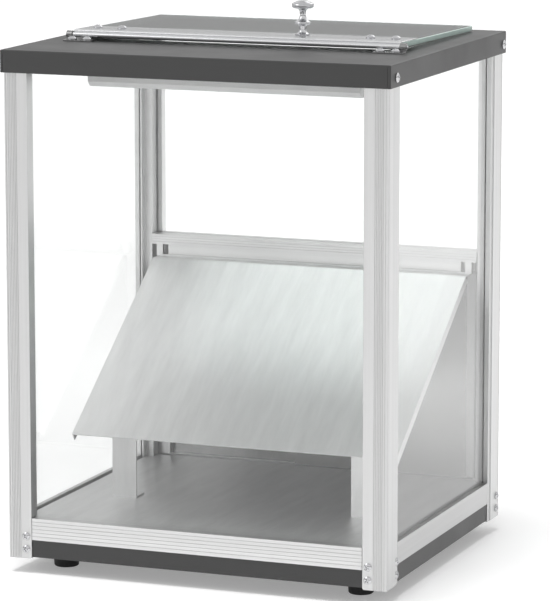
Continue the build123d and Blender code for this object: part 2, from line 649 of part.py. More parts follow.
with BuildPart() as rear_middle_rail:
    with BuildSketch(middle_plane):
        with BuildLine():
            Polyline(*middle_outline, close=True)
        make_face()
        chamber_end = MIDDLE_FRONT - MIDDLE_RECESS - RAIL_WALL
        chamber_start = FLANGE_DEPTH + SLOT + RAIL_WALL
        area(chamber_start, chamber_end, RAIL_WALL, MIDDLE_HEIGHT - RAIL_WALL, mode=Mode.SUBTRACT)
        for groove in middle_grooves:
            area(*groove, mode=Mode.SUBTRACT)
    extrude(amount=RAIL_END_X, both=True)
    for sense in (-1, 1):
        with BuildSketch(middle_plane.offset(sense * (POST_X - BLOCK_WIDTH - TONGUE_PLAY))):
            area(FLANGE_DEPTH + SLOT + TONGUE_PLAY, MIDDLE_FRONT, band_base, MIDDLE_HEIGHT)
            for groove in middle_grooves:
                area(*groove, mode=Mode.SUBTRACT)
        extrude(amount=-sense * (POST_FACE - BLOCK_WIDTH + RAIL_GAP))
        with BuildSketch(middle_plane.offset(sense * PANE_EDGE_X)):
            back = FLANGE_DEPTH + SLOT - TONGUE_PLAY
            tongue_base = DOOR_LIFT + RAIL_WALL
            area(FLANGE_DEPTH + TONGUE_PLAY, back, tongue_base, middle_floor - TONGUE_PLAY)
        extrude(amount=-sense * TONGUE_LENGTH)
        with BuildSketch(middle_plane.offset(sense * RAIL_END_X)):
            area(MIDDLE_FRONT - MIDDLE_RECESS, MIDDLE_FRONT, RAIL_WALL, band_base)
        extrude(amount=-sense * MIDDLE_END)
        with BuildSketch(middle_plane.offset(sense * (RAIL_END_X - MIDDLE_END))) as notch:
            area(chamber_end, MIDDLE_FRONT - MIDDLE_RECESS, RAIL_WALL, band_base)
        extrude(notch.sketch, amount=-sense * MIDDLE_NOTCH, mode=Mode.SUBTRACT)
rear_middle_rail.part.label = "rear_middle_rail"
export_step(rear_middle_rail.part, "parts/rear_middle_rail.step")


# ---- Fixed panes, held by their edges in the slots --------------------------------------
def make_pane(wall, z0, z1):
    """Toughened pane standing in the slots of one wall."""
    across, along = WALLS[wall]
    half = PANE_EDGE_X if across == 0 else PANE_EDGE_Y
    start = (FLANGE_DEPTH if across == 0 else SIDE_PANE_INSET) + PANE_PLAY
    with BuildPart() as pane:
        with BuildSketch(wall_plane(across, along, 0)):
            area(start, start + PANE, z0, z1)
        extrude(amount=half, both=True)
    return pane


for wall in WALLS:
    pane_foot = MIDDLE_BASE + middle_floor + TONGUE_PLAY if wall == "rear" else PANE_BOTTOM
    pane = make_pane(wall, pane_foot, PANE_TOP)
    pane.part.label = f"glass_{wall}"
    export_step(pane.part, f"parts/glass_{wall}.step")


# ---- Base pan: folded sheet between the post feet, with screwed ears in the slots -------
pan_top = PAN_BOTTOM + PAN_HEIGHT
face_end = POST_FACE + RAIL_GAP
side_end = POST_DEPTH + RAIL_GAP
hollow_top = pan_top + CUT_PAST
fold = (PAN_BOTTOM, pan_top)
face_ear = FLANGE_DEPTH + PANE_PLAY
face_back = face_ear + PAN_SHEET
side_ear = SIDE_PANE_INSET + PANE_PLAY
side_back = side_ear + PAN_SHEET
face_fold = face_end + PAN_SHEET
side_fold = side_end + PAN_SHEET
foot_points = [(x, y) for x in (-FOOT_X, FOOT_X) for y in (-FOOT_Y, FOOT_Y)]
with BuildPart() as base_pan:
    front = POST_Y - PAN_INSET
    flank = POST_X - LIP_INSET - PAN_INSET
    block(-flank, flank, -front, front, *fold)
    lining = (PAN_SHEET - flank, flank - PAN_SHEET, PAN_SHEET - front, front - PAN_SHEET)
    block(*lining, PAN_BOTTOM + PAN_SHEET, hollow_top, Mode.SUBTRACT)
    for side, end in CORNERS.values():
        notch = (-CUT_PAST, face_end, -CUT_PAST, side_end)
        corner_block(side, end, *notch, 0, hollow_top, Mode.SUBTRACT)
        corner_block(side, end, face_end, face_fold, PAN_INSET, face_back, *fold)
        corner_block(side, end, POST_FACE - PAN_EAR, face_fold, face_ear, face_back, *fold)
        corner_block(side, end, LIP_INSET + PAN_INSET, side_back, side_end, side_fold, *fold)
        corner_block(side, end, side_ear, side_back, POST_DEPTH - PAN_EAR, side_fold, *fold)
    for end in (-1, 1):
        skirt_end = end * (POST_Y - side_end)
        round_y = skirt_end - end * PAN_ROUND
        with BuildSketch(Plane.YZ) as rounding:
            low_y, high_y = sorted((skirt_end, round_y))
            area(low_y, high_y, pan_top - PAN_ROUND, pan_top)
            with Locations((round_y, pan_top - PAN_ROUND)):
                Circle(PAN_ROUND, mode=Mode.SUBTRACT)
        extrude(amount=POST_X, both=True, mode=Mode.SUBTRACT)
    with BuildSketch(Plane.XY.offset(PAN_BOTTOM)):
        with Locations(*foot_points):
            Circle(FOOT_SCREW / 2 + HOLE_PLAY)
    extrude(amount=PAN_SHEET, mode=Mode.SUBTRACT)
    drill_post_screws()
base_pan.part.label = "base_pan"
export_step(base_pan.part, "parts/base_pan.step")

# ---- Floor plate: flat sheet on the rails' inner walls ----------------------------------
with BuildPart() as floor_plate:
    half_x = POST_X - SIDE_PANE_INSET - SLOT - LIP_WALL - TONGUE_PLAY
    half_y = POST_Y - FLANGE_DEPTH - SLOT - TONGUE_PLAY
    block(-half_x, half_x, -half_y, half_y, FLOOR_BOTTOM, FLOOR_TOP)
    for side, end in CORNERS.values():
        notch = (-CUT_PAST, BLOCK_WIDTH + TONGUE_PLAY, -CUT_PAST, BLOCK_DEPTH + TONGUE_PLAY)
        corner_block(side, end, *notch, POST_BASE, FLOOR_TOP + CUT_PAST, Mode.SUBTRACT)
floor_plate.part.label = "floor_plate"
export_step(floor_plate.part, "parts/floor_plate.step")


# ---- Feet: moulded rubber, each held by a screw and a nut -------------------------------
for name, (side, end) in CORNERS.items():
    with BuildPart() as foot:
        with BuildSketch(Plane.XZ):
            with BuildLine():
                Polyline(
                    (FOOT_SCREW / 2 + HOLE_PLAY, PAN_BOTTOM),
                    (FOOT_SCREW / 2 + HOLE_PLAY, FOOT_RECESS_DEPTH),
                    (FOOT_RECESS / 2, FOOT_RECESS_DEPTH),
                    (FOOT_RECESS / 2, 0),
                    (FOOT_BOTTOM / 2, 0),
                    (FOOT_TOP / 2, PAN_BOTTOM),
                    close=True,
                )
            make_face()
        revolve(axis=Axis.Z)
        low_rims = foot.edges().filter_by(GeomType.CIRCLE).group_by(Axis.Z)[0]
        fillet(low_rims.sort_by(SortBy.RADIUS)[-1], FOOT_ROUND)
    with BuildPart() as placed_foot:
        with Locations((side * FOOT_X, end * FOOT_Y, 0)):
            add(foot.part)
    placed_foot.part.label = f"foot_{name}"
    export_step(placed_foot.part, f"parts/foot_{name}.step")

foot_screw_length = PAN_BOTTOM - FOOT_RECESS_DEPTH + PAN_SHEET + NUT_HEIGHT
foot_screw = turned_screw(FOOT_SCREW_HEAD, NUT_HEIGHT, FOOT_SCREW, foot_screw_length)
recess_planes = [Plane(origin=(x, y, FOOT_RECESS_DEPTH), z_dir=(0, 0, -1)) for x, y in foot_points]
with BuildPart() as foot_screws:
    with Locations(*recess_planes):
        add(foot_screw)
foot_screws.part.label = "foot_screws"
export_step(foot_screws.part, "parts/foot_screws.step")

foot_nut = hex_nut(FOOT_NUT_ACROSS, NUT_HEIGHT, FOOT_SCREW)
with BuildPart() as foot_nuts:
    with Locations(*[(x, y, PAN_BOTTOM + PAN_SHEET) for x, y in foot_points]):
        add(foot_nut)
foot_nuts.part.label = "foot_nuts"
export_step(foot_nuts.part, "parts/foot_nuts.step")


# ---- Carcass screws ---------------------------------------------------------------------
post_screw = turned_screw(POST_SCREW_HEAD, POST_SCREW_RISE, POST_SCREW, POST_SCREW_LENGTH)
with BuildPart() as post_screws:
    with Locations(*POST_SCREW_PLANES):
        add(post_screw)
post_screws.part.label = "post_screws"
export_step(post_screws.part, "parts/post_screws.step")

tray_screw = turned_screw(TRAY_SCREW_HEAD, TRAY_SCREW_RISE, POST_SCREW, HEM + TRAY_SCREW_LENGTH)
with BuildPart() as tray_screws:
    with Locations(*TRAY_SCREW_PLANES):
        add(tray_screw)
tray_screws.part.label = "tray_screws"
export_step(tray_screws.part, "parts/tray_screws.step")


# ---- Lid datum and hinge axis -----------------------------------------------------------
tilt = radians(LID_TILT)
lid_normal = (0, sin(tilt), cos(tilt))
LID = Plane(origin=(0, LID_REAR, LID_BASE), x_dir=(1, 0, 0), z_dir=lid_normal)
hinge = LID.from_local_coords(Vector(0, -LID_DEPTH - HINGE_AHEAD, HINGE_RISE))
hinge_section = Plane(origin=(0, hinge.Y, hinge.Z), x_dir=(0, 1, 0), z_dir=(1, 0, 0))
lid_front = LID.from_local_coords(Vector(0, -LID_DEPTH, 0))
lid_section = Plane(origin=lid_front, x_dir=LID.y_dir, z_dir=(1, 0, 0))
strip_top = LID_GLASS + STRIP
shank_reach = strip_top + LID_SHANK
lid_screw_xs = (LID_HALF - LID_SCREW_INNER, LID_HALF - LID_SCREW_OUTER)
lid_screw_y = LID_SCREW_BACK - LID_DEPTH
lid_screw_points = [(side * x, lid_screw_y) for side in (-1, 1) for x in lid_screw_xs]
knob_point = (KNOB_X, KNOB_BACK - LID_DEPTH)
bracket_screw_xs = (LEAF_START + BRACKET_SCREW_INNER, KNUCKLE_END - BRACKET_SCREW_OUTER)
bracket_screw_y = hinge.Y - BRACKET_SCREW_AHEAD
bracket_screw_points = [(side * x, bracket_screw_y) for side in (-1, 1) for x in bracket_screw_xs]


def drill_lid(diameter):
    """Holes for the strip's screws and the knob's stud in the current lid piece."""
    with BuildSketch(LID.offset(-CUT_PAST)) as holes:
        with Locations(*lid_screw_points, knob_point):
            Circle(diameter / 2)
    extrude(holes.sketch, amount=strip_top + 2 * CUT_PAST, mode=Mode.SUBTRACT)


# ---- Top tray: folded sheet with a doubled skirt, the loading opening and lamp studs ----
stud_x = HOUSING_HALF + HOUSING_EAR / 2
stud_ys = (HOUSING_FRONT + STUD_AHEAD, HOUSING_REAR - STUD_BEHIND)
stud_points = [(side * stud_x, y) for side in (-1, 1) for y in stud_ys]
duct_x = TRAY_WIDTH / 2 - DUCT_SIDE
duct_front = HOUSING_REAR + DUCT_GAP
duct_rear = OPENING_REAR - DUCT_SHORT
duct_stud_points = [(duct_x, duct_front + DUCT_STUD_AHEAD), (duct_x, duct_rear - DUCT_STUD_BEHIND)]
stud_length = HOUSING_SHEET + NUT_HEIGHT + CUT_PAST
with BuildPart() as top_tray:
    half_x = TRAY_WIDTH / 2
    half_y = TRAY_DEPTH / 2
    block(-half_x, half_x, -half_y, half_y, SKIRT_BOTTOM, TRAY_TOP)
    fillet(top_tray.edges().filter_by(Axis.Z), BEND)
    fillet(top_tray.faces().sort_by(Axis.Z)[-1].edges(), BEND)
    block(-POST_X, POST_X, -POST_Y, POST_Y, SKIRT_BOTTOM, POST_TOP, Mode.SUBTRACT)
    lip_base = TRAY_TOP - OPENING_LIP
    with BuildSketch(Plane.XY.offset(lip_base)):
        lip_x = OPENING_HALF + SHEET
        area(-lip_x, lip_x, OPENING_FRONT - SHEET, OPENING_REAR + SHEET)
    extrude(amount=OPENING_LIP - SHEET)
    with BuildSketch(Plane.XY.offset(lip_base - CUT_PAST)) as mouth:
        area(-OPENING_HALF, OPENING_HALF, OPENING_FRONT, OPENING_REAR)
        fillet(mouth.vertices(), OPENING_ROUND)
    extrude(amount=OPENING_LIP + 2 * CUT_PAST, mode=Mode.SUBTRACT)
    for side in (-1, 1):
        seam = side * (half_x - SEAM_INSET)
        groove = (seam - SEAM_WIDTH / 2, seam + SEAM_WIDTH / 2, -half_y, GROOVE_DEPTH - half_y)
        block(*groove, SKIRT_BOTTOM, POST_TOP, Mode.SUBTRACT)
    with BuildSketch(Plane.XY.offset(POST_TOP)):
        with Locations(*stud_points, *duct_stud_points):
            Circle(STUD / 2)
    extrude(amount=-stud_length)
    with BuildSketch(Plane.XY.offset(POST_TOP - CUT_PAST)):
        with Locations(*bracket_screw_points):
            Circle(POST_SCREW / 2 + HOLE_PLAY)
    extrude(amount=SHEET + 2 * CUT_PAST, mode=Mode.SUBTRACT)
    for plane in TRAY_SCREW_PLANES:
        bore(plane, POST_SCREW + 2 * HOLE_PLAY, HEM)
    cut_rear_services()
top_tray.part.label = "top_tray"
export_step(top_tray.part, "parts/top_tray.step")


# ---- Lid: toughened glass with a polished strip that rolls into the hinge barrel --------
with BuildPart() as lid_glass:
    with BuildSketch(LID) as sheet:
        area(-LID_HALF, LID_HALF, -LID_DEPTH, 0)
        fillet(sheet.vertices(), LID_ROUND)
    extrude(amount=LID_GLASS)
    drill_lid(POST_SCREW + 4 * HOLE_PLAY)
lid_glass.part.label = "lid_glass"
export_step(lid_glass.part, "parts/lid_glass.step")

roll_in = BARREL / 2 - STRIP - HINGE_AHEAD
with BuildPart() as lid_strip:
    with BuildSketch(LID.offset(LID_GLASS)) as strip_plan:
        area(-LID_HALF, LID_HALF, -LID_DEPTH, STRIP_DEPTH - LID_DEPTH)
        fillet(strip_plan.vertices().sort_by(Axis.Y)[-2:], LID_ROUND)
    extrude(amount=STRIP)
    with BuildSketch(lid_section):
        area(roll_in, 0, LID_GLASS, strip_top)
        area(roll_in, roll_in + STRIP, HINGE_RISE, strip_top)
    extrude(amount=BARREL_HALF, both=True)
    with BuildSketch(hinge_section):
        Circle(BARREL / 2)
    extrude(amount=BARREL_HALF, both=True)
    with BuildSketch(hinge_section):
        Circle(ROD / 2 + RUNNING_PLAY)
    extrude(amount=BARREL_HALF + CUT_PAST, both=True, mode=Mode.SUBTRACT)
    drill_lid(POST_SCREW + 2 * HOLE_PLAY)
lid_strip.part.label = "lid_strip"
export_step(lid_strip.part, "parts/lid_strip.step")

with BuildPart() as lid_pads:
    with BuildSketch(LID.offset(-PAD_HEIGHT)):
        with Locations(*[(side * (LID_HALF - PAD_IN), -PAD_IN) for side in (-1, 1)]):
            Circle(PAD_SIZE / 2)
    extrude(amount=PAD_HEIGHT)
lid_pads.part.label = "lid_pads"
export_step(lid_pads.part, "parts/lid_pads.step")

lid_screw = turned_screw(LID_SCREW_HEAD, LID_SCREW_RISE, POST_SCREW, shank_reach)
with BuildPart() as lid_screws:
    with Locations(LID.offset(strip_top).location):
        with Locations(*lid_screw_points):
            add(lid_screw)
lid_screws.part.label = "lid_screws"
export_step(lid_screws.part, "parts/lid_screws.step")

lid_nut = hex_nut(NUT_ACROSS, LID_NUT_HEIGHT, POST_SCREW)
with BuildPart() as lid_nuts:
    with Locations(LID.offset(-LID_NUT_HEIGHT).location):
        with Locations(*lid_screw_points, knob_point):
            add(lid_nut)
lid_nuts.part.label = "lid_nuts"
export_step(lid_nuts.part, "parts/lid_nuts.step")

# Turned knob: a foot, a thin stem, a collar, a waist and a mushroom head. Its side is given as
# shares of the head's half width and of the height: the ends and middles of its arcs in turn.
KNOB_FLARE = [(0.66, 0.04), (0.42, 0.085), (0.32, 0.165)]
KNOB_COLLAR = [(0.32, 0.265), (0.43, 0.305), (0.64, 0.315), (0.72, 0.355), (0.64, 0.395)]
KNOB_CROWN = [(0.35, 0.49), (0.28, 0.635), (0.38, 0.725), (0.76, 0.765), (1.0, 0.845), (0.76, 0.935)]


def knob_side(shares):
    """Points on the knob's side from their shares of its half width and height."""
    return [(x * KNOB_HEAD / 2, z * KNOB_HEIGHT) for x, z in shares]


flare = knob_side(KNOB_FLARE)
upper = knob_side(KNOB_COLLAR + KNOB_CROWN)
stud_end = (POST_SCREW / 2, -shank_reach)
with BuildPart() as knob_blank:
    with BuildSketch(Plane.XZ):
        with BuildLine():
            Polyline((0, KNOB_HEIGHT), (0, -shank_reach), stud_end, (POST_SCREW / 2, 0))
            Polyline((POST_SCREW / 2, 0), (flare[0][0], 0), flare[0])
            ThreePointArc(*flare)
            Line(flare[-1], upper[0])
            for start, middle, end in zip(upper[:-2:2], upper[1:-1:2], upper[2::2]):
                ThreePointArc(start, middle, end)
            ThreePointArc(upper[-1], dome_point(*upper[-1], KNOB_HEIGHT), (0, KNOB_HEIGHT))
        make_face()
    revolve(axis=Axis.Z)
with BuildPart() as lid_knob:
    with Locations(LID.offset(strip_top).location):
        with Locations(knob_point):
            add(knob_blank.part)
lid_knob.part.label = "lid_knob"
export_step(lid_knob.part, "parts/lid_knob.step")


# ---- Hinge rod and its two fixed brackets on the tray -----------------------------------
with BuildPart() as hinge_rod:
    with BuildSketch(hinge_section):
        Circle(ROD / 2)
    extrude(amount=ROD_HALF, both=True)
hinge_rod.part.label = "hinge_rod"
export_step(hinge_rod.part, "parts/hinge_rod.step")

for name, side in (("left", -1), ("right", 1)):
    with BuildPart() as bracket:
        x0, x1 = sorted((side * LEAF_START, side * KNUCKLE_END))
        web = hinge.Y - BARREL / 2
        with BuildSketch(Plane.XY.offset(TRAY_TOP)) as leaf:
            area(x0, x1, hinge.Y - LEAF_REACH, web + LEAF)
            fillet(leaf.vertices().sort_by(Axis.Y)[:2], LEAF_ROUND)
        extrude(amount=LEAF)
        with BuildSketch(Plane.XY.offset(TRAY_TOP)):
            with Locations(*[point for point in bracket_screw_points if x0 < point[0] < x1]):
                Circle(POST_SCREW / 2 + HOLE_PLAY)
        extrude(amount=LEAF, mode=Mode.SUBTRACT)
        x0, x1 = sorted((side * KNUCKLE_START, side * KNUCKLE_END))
        block(x0, x1, web, web + LEAF, TRAY_TOP, hinge.Z)
        with BuildSketch(hinge_section.offset(x0)):
            Circle(KNUCKLE / 2)
        extrude(amount=x1 - x0)
        with BuildSketch(hinge_section.offset(x0)):
            Circle(ROD / 2 + FIXED_PLAY)
        extrude(amount=x1 - x0, mode=Mode.SUBTRACT)
    bracket.part.label = f"hinge_bracket_{name}"
    export_step(bracket.part, f"parts/hinge_bracket_{name}.step")

bracket_screw = turned_screw(LID_SCREW_HEAD, LID_SCREW_RISE, POST_SCREW, LEAF + SHEET + NUT_HEIGHT)
with BuildPart() as bracket_screws:
    with Locations(*[(x, y, TRAY_TOP + LEAF) for x, y in bracket_screw_points]):
        add(bracket_screw)
bracket_screws.part.label = "bracket_screws"
export_step(bracket_screws.part, "parts/bracket_screws.step")


# ---- Lamp housing: a folded box under the tray with a light window beneath --------------
housing_base = TRAY_TOP - HOUSING_DROP
housing_floor = housing_base + HOUSING_SHEET
lamp_y = (HOUSING_FRONT + HOUSING_REAR) / 2
lamp_z = TRAY_TOP - LAMP_DROP
with BuildPart() as lamp_housing:
    with BuildSketch(Plane.YZ) as casing:
        area(HOUSING_FRONT, HOUSING_REAR, housing_base, POST_TOP)
        chamfer(casing.vertices().group_by(Axis.Y)[0], HOUSING_CHAMFER)
    extrude(amount=HOUSING_HALF, both=True)
    with BuildSketch(Plane.YZ) as inside:
        front_wall = HOUSING_FRONT + HOUSING_SHEET
        rear_wall = HOUSING_REAR - HOUSING_SHEET
        area(front_wall, rear_wall, housing_floor, POST_TOP)
        chamfer(inside.vertices().group_by(Axis.Y)[0], HOUSING_CHAMFER - HOUSING_SHEET / 2)
    extrude(amount=HOUSING_HALF - HOUSING_SHEET, both=True, mode=Mode.SUBTRACT)
    window_x = HOUSING_HALF - HOUSING_EAR
    window = (-window_x, window_x, lamp_y - HOUSING_WINDOW / 2, lamp_y + HOUSING_WINDOW / 2)
    block(*window, housing_base - CUT_PAST, housing_floor + CUT_PAST, Mode.SUBTRACT)
    for side in (-1, 1):
        end_wall = side * (HOUSING_HALF - HOUSING_SHEET)
        x0, x1 = sorted((end_wall, side * (HOUSING_HALF + HOUSING_EAR)))
        block(x0, x1, HOUSING_FRONT, HOUSING_REAR, POST_TOP - HOUSING_SHEET, POST_TOP)
    with BuildSketch(Plane.XY.offset(POST_TOP - HOUSING_SHEET)):
        with Locations(*stud_points):
            Circle(STUD / 2 + HOLE_PLAY)
    extrude(amount=HOUSING_SHEET, mode=Mode.SUBTRACT)
lamp_housing.part.label = "lamp_housing"
export_step(lamp_housing.part, "parts/lamp_housing.step")

tray_nut = hex_nut(NUT_ACROSS, NUT_HEIGHT, STUD)
under_sheet = POST_TOP - HOUSING_SHEET - NUT_HEIGHT
nut_points = [(x, y, under_sheet) for x, y in stud_points + duct_stud_points]
nut_points += [(x, y, POST_TOP - NUT_HEIGHT) for x, y in bracket_screw_points]
with BuildPart() as tray_nuts:
    with Locations(*nut_points):
        add(tray_nut)
tray_nuts.part.label = "tray_nuts"
export_step(tray_nuts.part, "parts/tray_nuts.step")

# Reflector: a bright trough over the lamp, with side lips on the housing's floor.
trough_half = HOUSING_WINDOW / 2
trough_high = lamp_z + LAMP_TUBE
crown_out = REFLECTOR_CROWN + REFLECTOR
under_side = [
    (trough_half + REFLECTOR_LIP, housing_floor),
    (trough_half, housing_floor),
    (REFLECTOR_CROWN, trough_high),
]
over_side = [
    (crown_out, trough_high + REFLECTOR),
    (trough_half + REFLECTOR, housing_floor + REFLECTOR),
    (trough_half + REFLECTOR_LIP, housing_floor + REFLECTOR),
]
rear_half = [(lamp_y + y, z) for y, z in reversed(under_side)]
rear_half += [(lamp_y + y, z) for y, z in reversed(over_side)]
front_half = [(lamp_y - y, z) for y, z in over_side + under_side]
with BuildPart() as reflector:
    with BuildSketch(Plane.YZ):
        with BuildLine():
            Polyline(*rear_half, *front_half, close=True)
        make_face()
    extrude(amount=LAMP_HALF + REFLECTOR_END, both=True)
reflector.part.label = "reflector"
export_step(reflector.part, "parts/reflector.step")

with BuildPart() as lamp_tube:
    with BuildSketch(Plane(origin=(0, lamp_y, lamp_z), z_dir=(1, 0, 0))):
        Circle(LAMP_TUBE / 2)
    extrude(amount=LAMP_HALF, both=True)
    fillet(lamp_tube.edges().filter_by(GeomType.CIRCLE), LAMP_ROUND)
lamp_tube.part.label = "lamp_tube"
export_step(lamp_tube.part, "parts/lamp_tube.step")

# Ceramic holders: each takes a lamp end and stands on the housing's floor.
block_start = LAMP_HALF + HOLDER_BLOCK
block_end = HOUSING_HALF - HOUSING_SHEET - HOLDER_GAP
block_sides = (lamp_y - HOLDER_HALF, lamp_y + HOLDER_HALF)
with BuildPart() as lamp_holders:
    for side in (-1, 1):
        x0, x1 = sorted((side * block_start, side * block_end))
        block(x0, x1, *block_sides, housing_floor, lamp_z + HOLDER_HALF)
        lamp_end = Plane(origin=(side * LAMP_HALF, lamp_y, lamp_z), z_dir=(-side, 0, 0))
        with BuildSketch(lamp_end.offset(-HOLDER_SLEEVE)):
            Circle(LAMP_TUBE / 2 + HOLDER_WALL)
        extrude(amount=HOLDER_SLEEVE + HOLDER_GRIP)
        with BuildSketch(lamp_end):
            Circle(LAMP_TUBE / 2)
        extrude(amount=LAMP_HALF, mode=Mode.SUBTRACT)
lamp_holders.part.label = "lamp_holders"
export_step(lamp_holders.part, "parts/lamp_holders.step")

# Wiring duct: a folded channel under the tray from the rear services to the lamp housing.
with BuildPart() as wiring_duct:
    x0 = duct_x - DUCT_WIDTH / 2
    x1 = duct_x + DUCT_WIDTH / 2
    duct_ends = (duct_front, duct_rear)
    block(x0, x1, *duct_ends, POST_TOP - HOUSING_SHEET, POST_TOP)
    block(x0, x0 + HOUSING_SHEET, *duct_ends, POST_TOP - DUCT_HEIGHT, POST_TOP)
    block(x1 - HOUSING_SHEET, x1, *duct_ends, POST_TOP - DUCT_HEIGHT, POST_TOP)
    with BuildSketch(Plane.XY.offset(POST_TOP - HOUSING_SHEET)):
        with Locations(*duct_stud_points):
            Circle(STUD / 2 + HOLE_PLAY)
    extrude(amount=HOUSING_SHEET, mode=Mode.SUBTRACT)
wiring_duct.part.label = "wiring_duct"
export_step(wiring_duct.part, "parts/wiring_duct.step")


# ---- Sloping chute: bent stainless sheet hung under the middle rail ---------------------
slope = radians(CHUTE_SLOPE)
ledge_top = MIDDLE_BASE
chute_end_y = CHUTE_AHEAD - POST_Y
chute_end_z = ledge_top - (CHUTE_BEND_Y - chute_end_y) * tan(slope)


def under(y, z, depth):
    """Point square below the slope's upper face by a depth."""
    return (y + depth * sin(slope), z - depth * cos(slope))


bend_shift = CHUTE_SHEET * tan(slope / 2)
bend_low = (CHUTE_BEND_Y + bend_shift, ledge_top - CHUTE_SHEET)
ledge_end = CHUTE_BEND_Y + CHUTE_LEDGE
chute_screw_points = [(x, ledge_end - LEDGE_SCREW) for x in (-LEG_X, 0, LEG_X)]
with BuildPart() as chute:
    with BuildSketch(Plane.YZ):
        with BuildLine():
            Polyline(
                (ledge_end, ledge_top),
                (CHUTE_BEND_Y, ledge_top),
                (chute_end_y, chute_end_z),
                under(chute_end_y, chute_end_z, CHUTE_SHEET),
                bend_low,
                (ledge_end, ledge_top - CHUTE_SHEET),
                close=True,
            )
        make_face()
    extrude(amount=CHUTE_HALF, both=True)
    for side in (-1, 1):
        with BuildSketch(Plane.YZ.offset(side * CHUTE_HALF)):
            with BuildLine():
                Polyline(
                    (CHUTE_BEND_Y, ledge_top),
                    (chute_end_y, chute_end_z),
                    under(chute_end_y, chute_end_z, CHUTE_SIDE),
                    under(CHUTE_BEND_Y, ledge_top, CHUTE_SIDE),
                    close=True,
                )
            make_face()
        extrude(amount=-side * CHUTE_SHEET)
    with BuildSketch(Plane.XY.offset(ledge_top - CHUTE_SHEET)):
        with Locations(*chute_screw_points):
            Circle(POST_SCREW / 2 + HOLE_PLAY)
    extrude(amount=CHUTE_SHEET, mode=Mode.SUBTRACT)
chute.part.label = "chute"
export_step(chute.part, "parts/chute.step")

chute_screw = turned_screw(POST_SCREW_HEAD, CHUTE_SCREW_RISE, POST_SCREW, CHUTE_SHEET)
ledge_under = Plane(origin=(0, 0, ledge_top - CHUTE_SHEET), z_dir=(0, 0, -1))
chute_screw_planes = [ledge_under.shift_origin((x, y, ledge_under.origin.Z)) for x, y in chute_screw_points]
with BuildPart() as chute_screws:
    with Locations(*chute_screw_planes):
        add(chute_screw)
chute_screws.part.label = "chute_screws"
export_step(chute_screws.part, "parts/chute_screws.step")

# Legs: bent strips from the floor plate to the chute's underside.
leg_y = chute_end_y + LEG_BACK
leg_top = chute_end_z + LEG_BACK * tan(slope) - CHUTE_SHEET / cos(slope)
flange_y = leg_y + LEG_FLANGE
flange_z = leg_top + LEG_FLANGE * tan(slope)
for name, side in (("left", -1), ("right", 1)):
    with BuildPart() as leg:
        with BuildSketch(Plane.YZ.offset(side * LEG_X)):
            with BuildLine():
                drop = LEG_SHEET / cos(slope)
                Polyline(
                    (leg_y, FLOOR_TOP),
                    (leg_y + LEG_FLANGE, FLOOR_TOP),
                    (leg_y + LEG_FLANGE, FLOOR_TOP + LEG_SHEET),
                    (leg_y + LEG_SHEET, FLOOR_TOP + LEG_SHEET),
                    (leg_y + LEG_SHEET, leg_top + LEG_SHEET * tan(slope) - drop),
                    (flange_y, flange_z - drop),
                    (flange_y, flange_z),
                    (leg_y, leg_top),
                    close=True,
                )
            make_face()
        extrude(amount=LEG_WIDTH / 2, both=True)
    leg.part.label = f"chute_leg_{name}"
    export_step(leg.part, f"parts/chute_leg_{name}.step")


# ---- Rear doors: hemmed steel panels on two channels, with jambs and finger pulls -------
jamb_base_x = RAIL_END_X
door_edge = jamb_base_x - JAMB_WALL - DOOR_END_PLAY
jamb_legs = [
    (DOOR_OUTER - DOOR_PLAY - JAMB_WALL, DOOR_OUTER - DOOR_PLAY),
    (DOOR_OUTER + DOOR + DOOR_PLAY, DOOR_INNER - DOOR_PLAY),
    (DOOR_INNER + DOOR + DOOR_PLAY, DOOR_INNER + DOOR + DOOR_PLAY + JAMB_WALL),
]
for name, side in (("left", -1), ("right", 1)):
    with BuildPart() as jamb:
        with BuildSketch(Plane.XY.offset(RAIL_TOP)):
            depth = POST_X - jamb_base_x
            corner_area(side, 1, depth, depth + JAMB_WALL, jamb_legs[0][0], jamb_legs[2][1])
            for start, stop in jamb_legs:
                corner_area(side, 1, depth, depth + JAMB_WIDTH, start, stop)
        extrude(amount=MIDDLE_BASE - RAIL_TOP)
    jamb.part.label = f"door_jamb_{name}"
    export_step(jamb.part, f"parts/door_jamb_{name}.step")

pull_z = POST_BASE + PULL_HEIGHT
for name, side, depth in (("left", -1, DOOR_OUTER), ("right", 1, DOOR_INNER)):
    far = side * door_edge
    near = -side * DOOR_OVERLAP
    face_y = POST_Y - depth
    pull_plane = Plane(origin=(far - side * PULL_IN, face_y, pull_z), z_dir=(0, 1, 0))
    with BuildPart() as door:
        block(min(far, near), max(far, near), face_y - DOOR, face_y, DOOR_BOTTOM, DOOR_TOP)
        bore(pull_plane, PULL_HOLE + 2 * HOLE_PLAY, DOOR)
    door.part.label = f"rear_door_{name}"
    export_step(door.part, f"parts/rear_door_{name}.step")
    with BuildPart() as pull:
        with BuildSketch(pull_plane):
            Circle(PULL_FLANGE / 2)
        extrude(amount=PULL_RISE)
        with BuildSketch(pull_plane):
            Circle(PULL_HOLE / 2)
        extrude(amount=-DOOR)
        bore(pull_plane.offset(PULL_RISE), PULL_HOLE - 2 * PULL_RISE, PULL_RISE + DOOR)
        fillet(pull.edges().filter_by(GeomType.CIRCLE).sort_by(Axis.Y)[-2:], PULL_ROUND)
    pull.part.label = f"door_pull_{name}"
    export_step(pull.part, f"parts/door_pull_{name}.step")


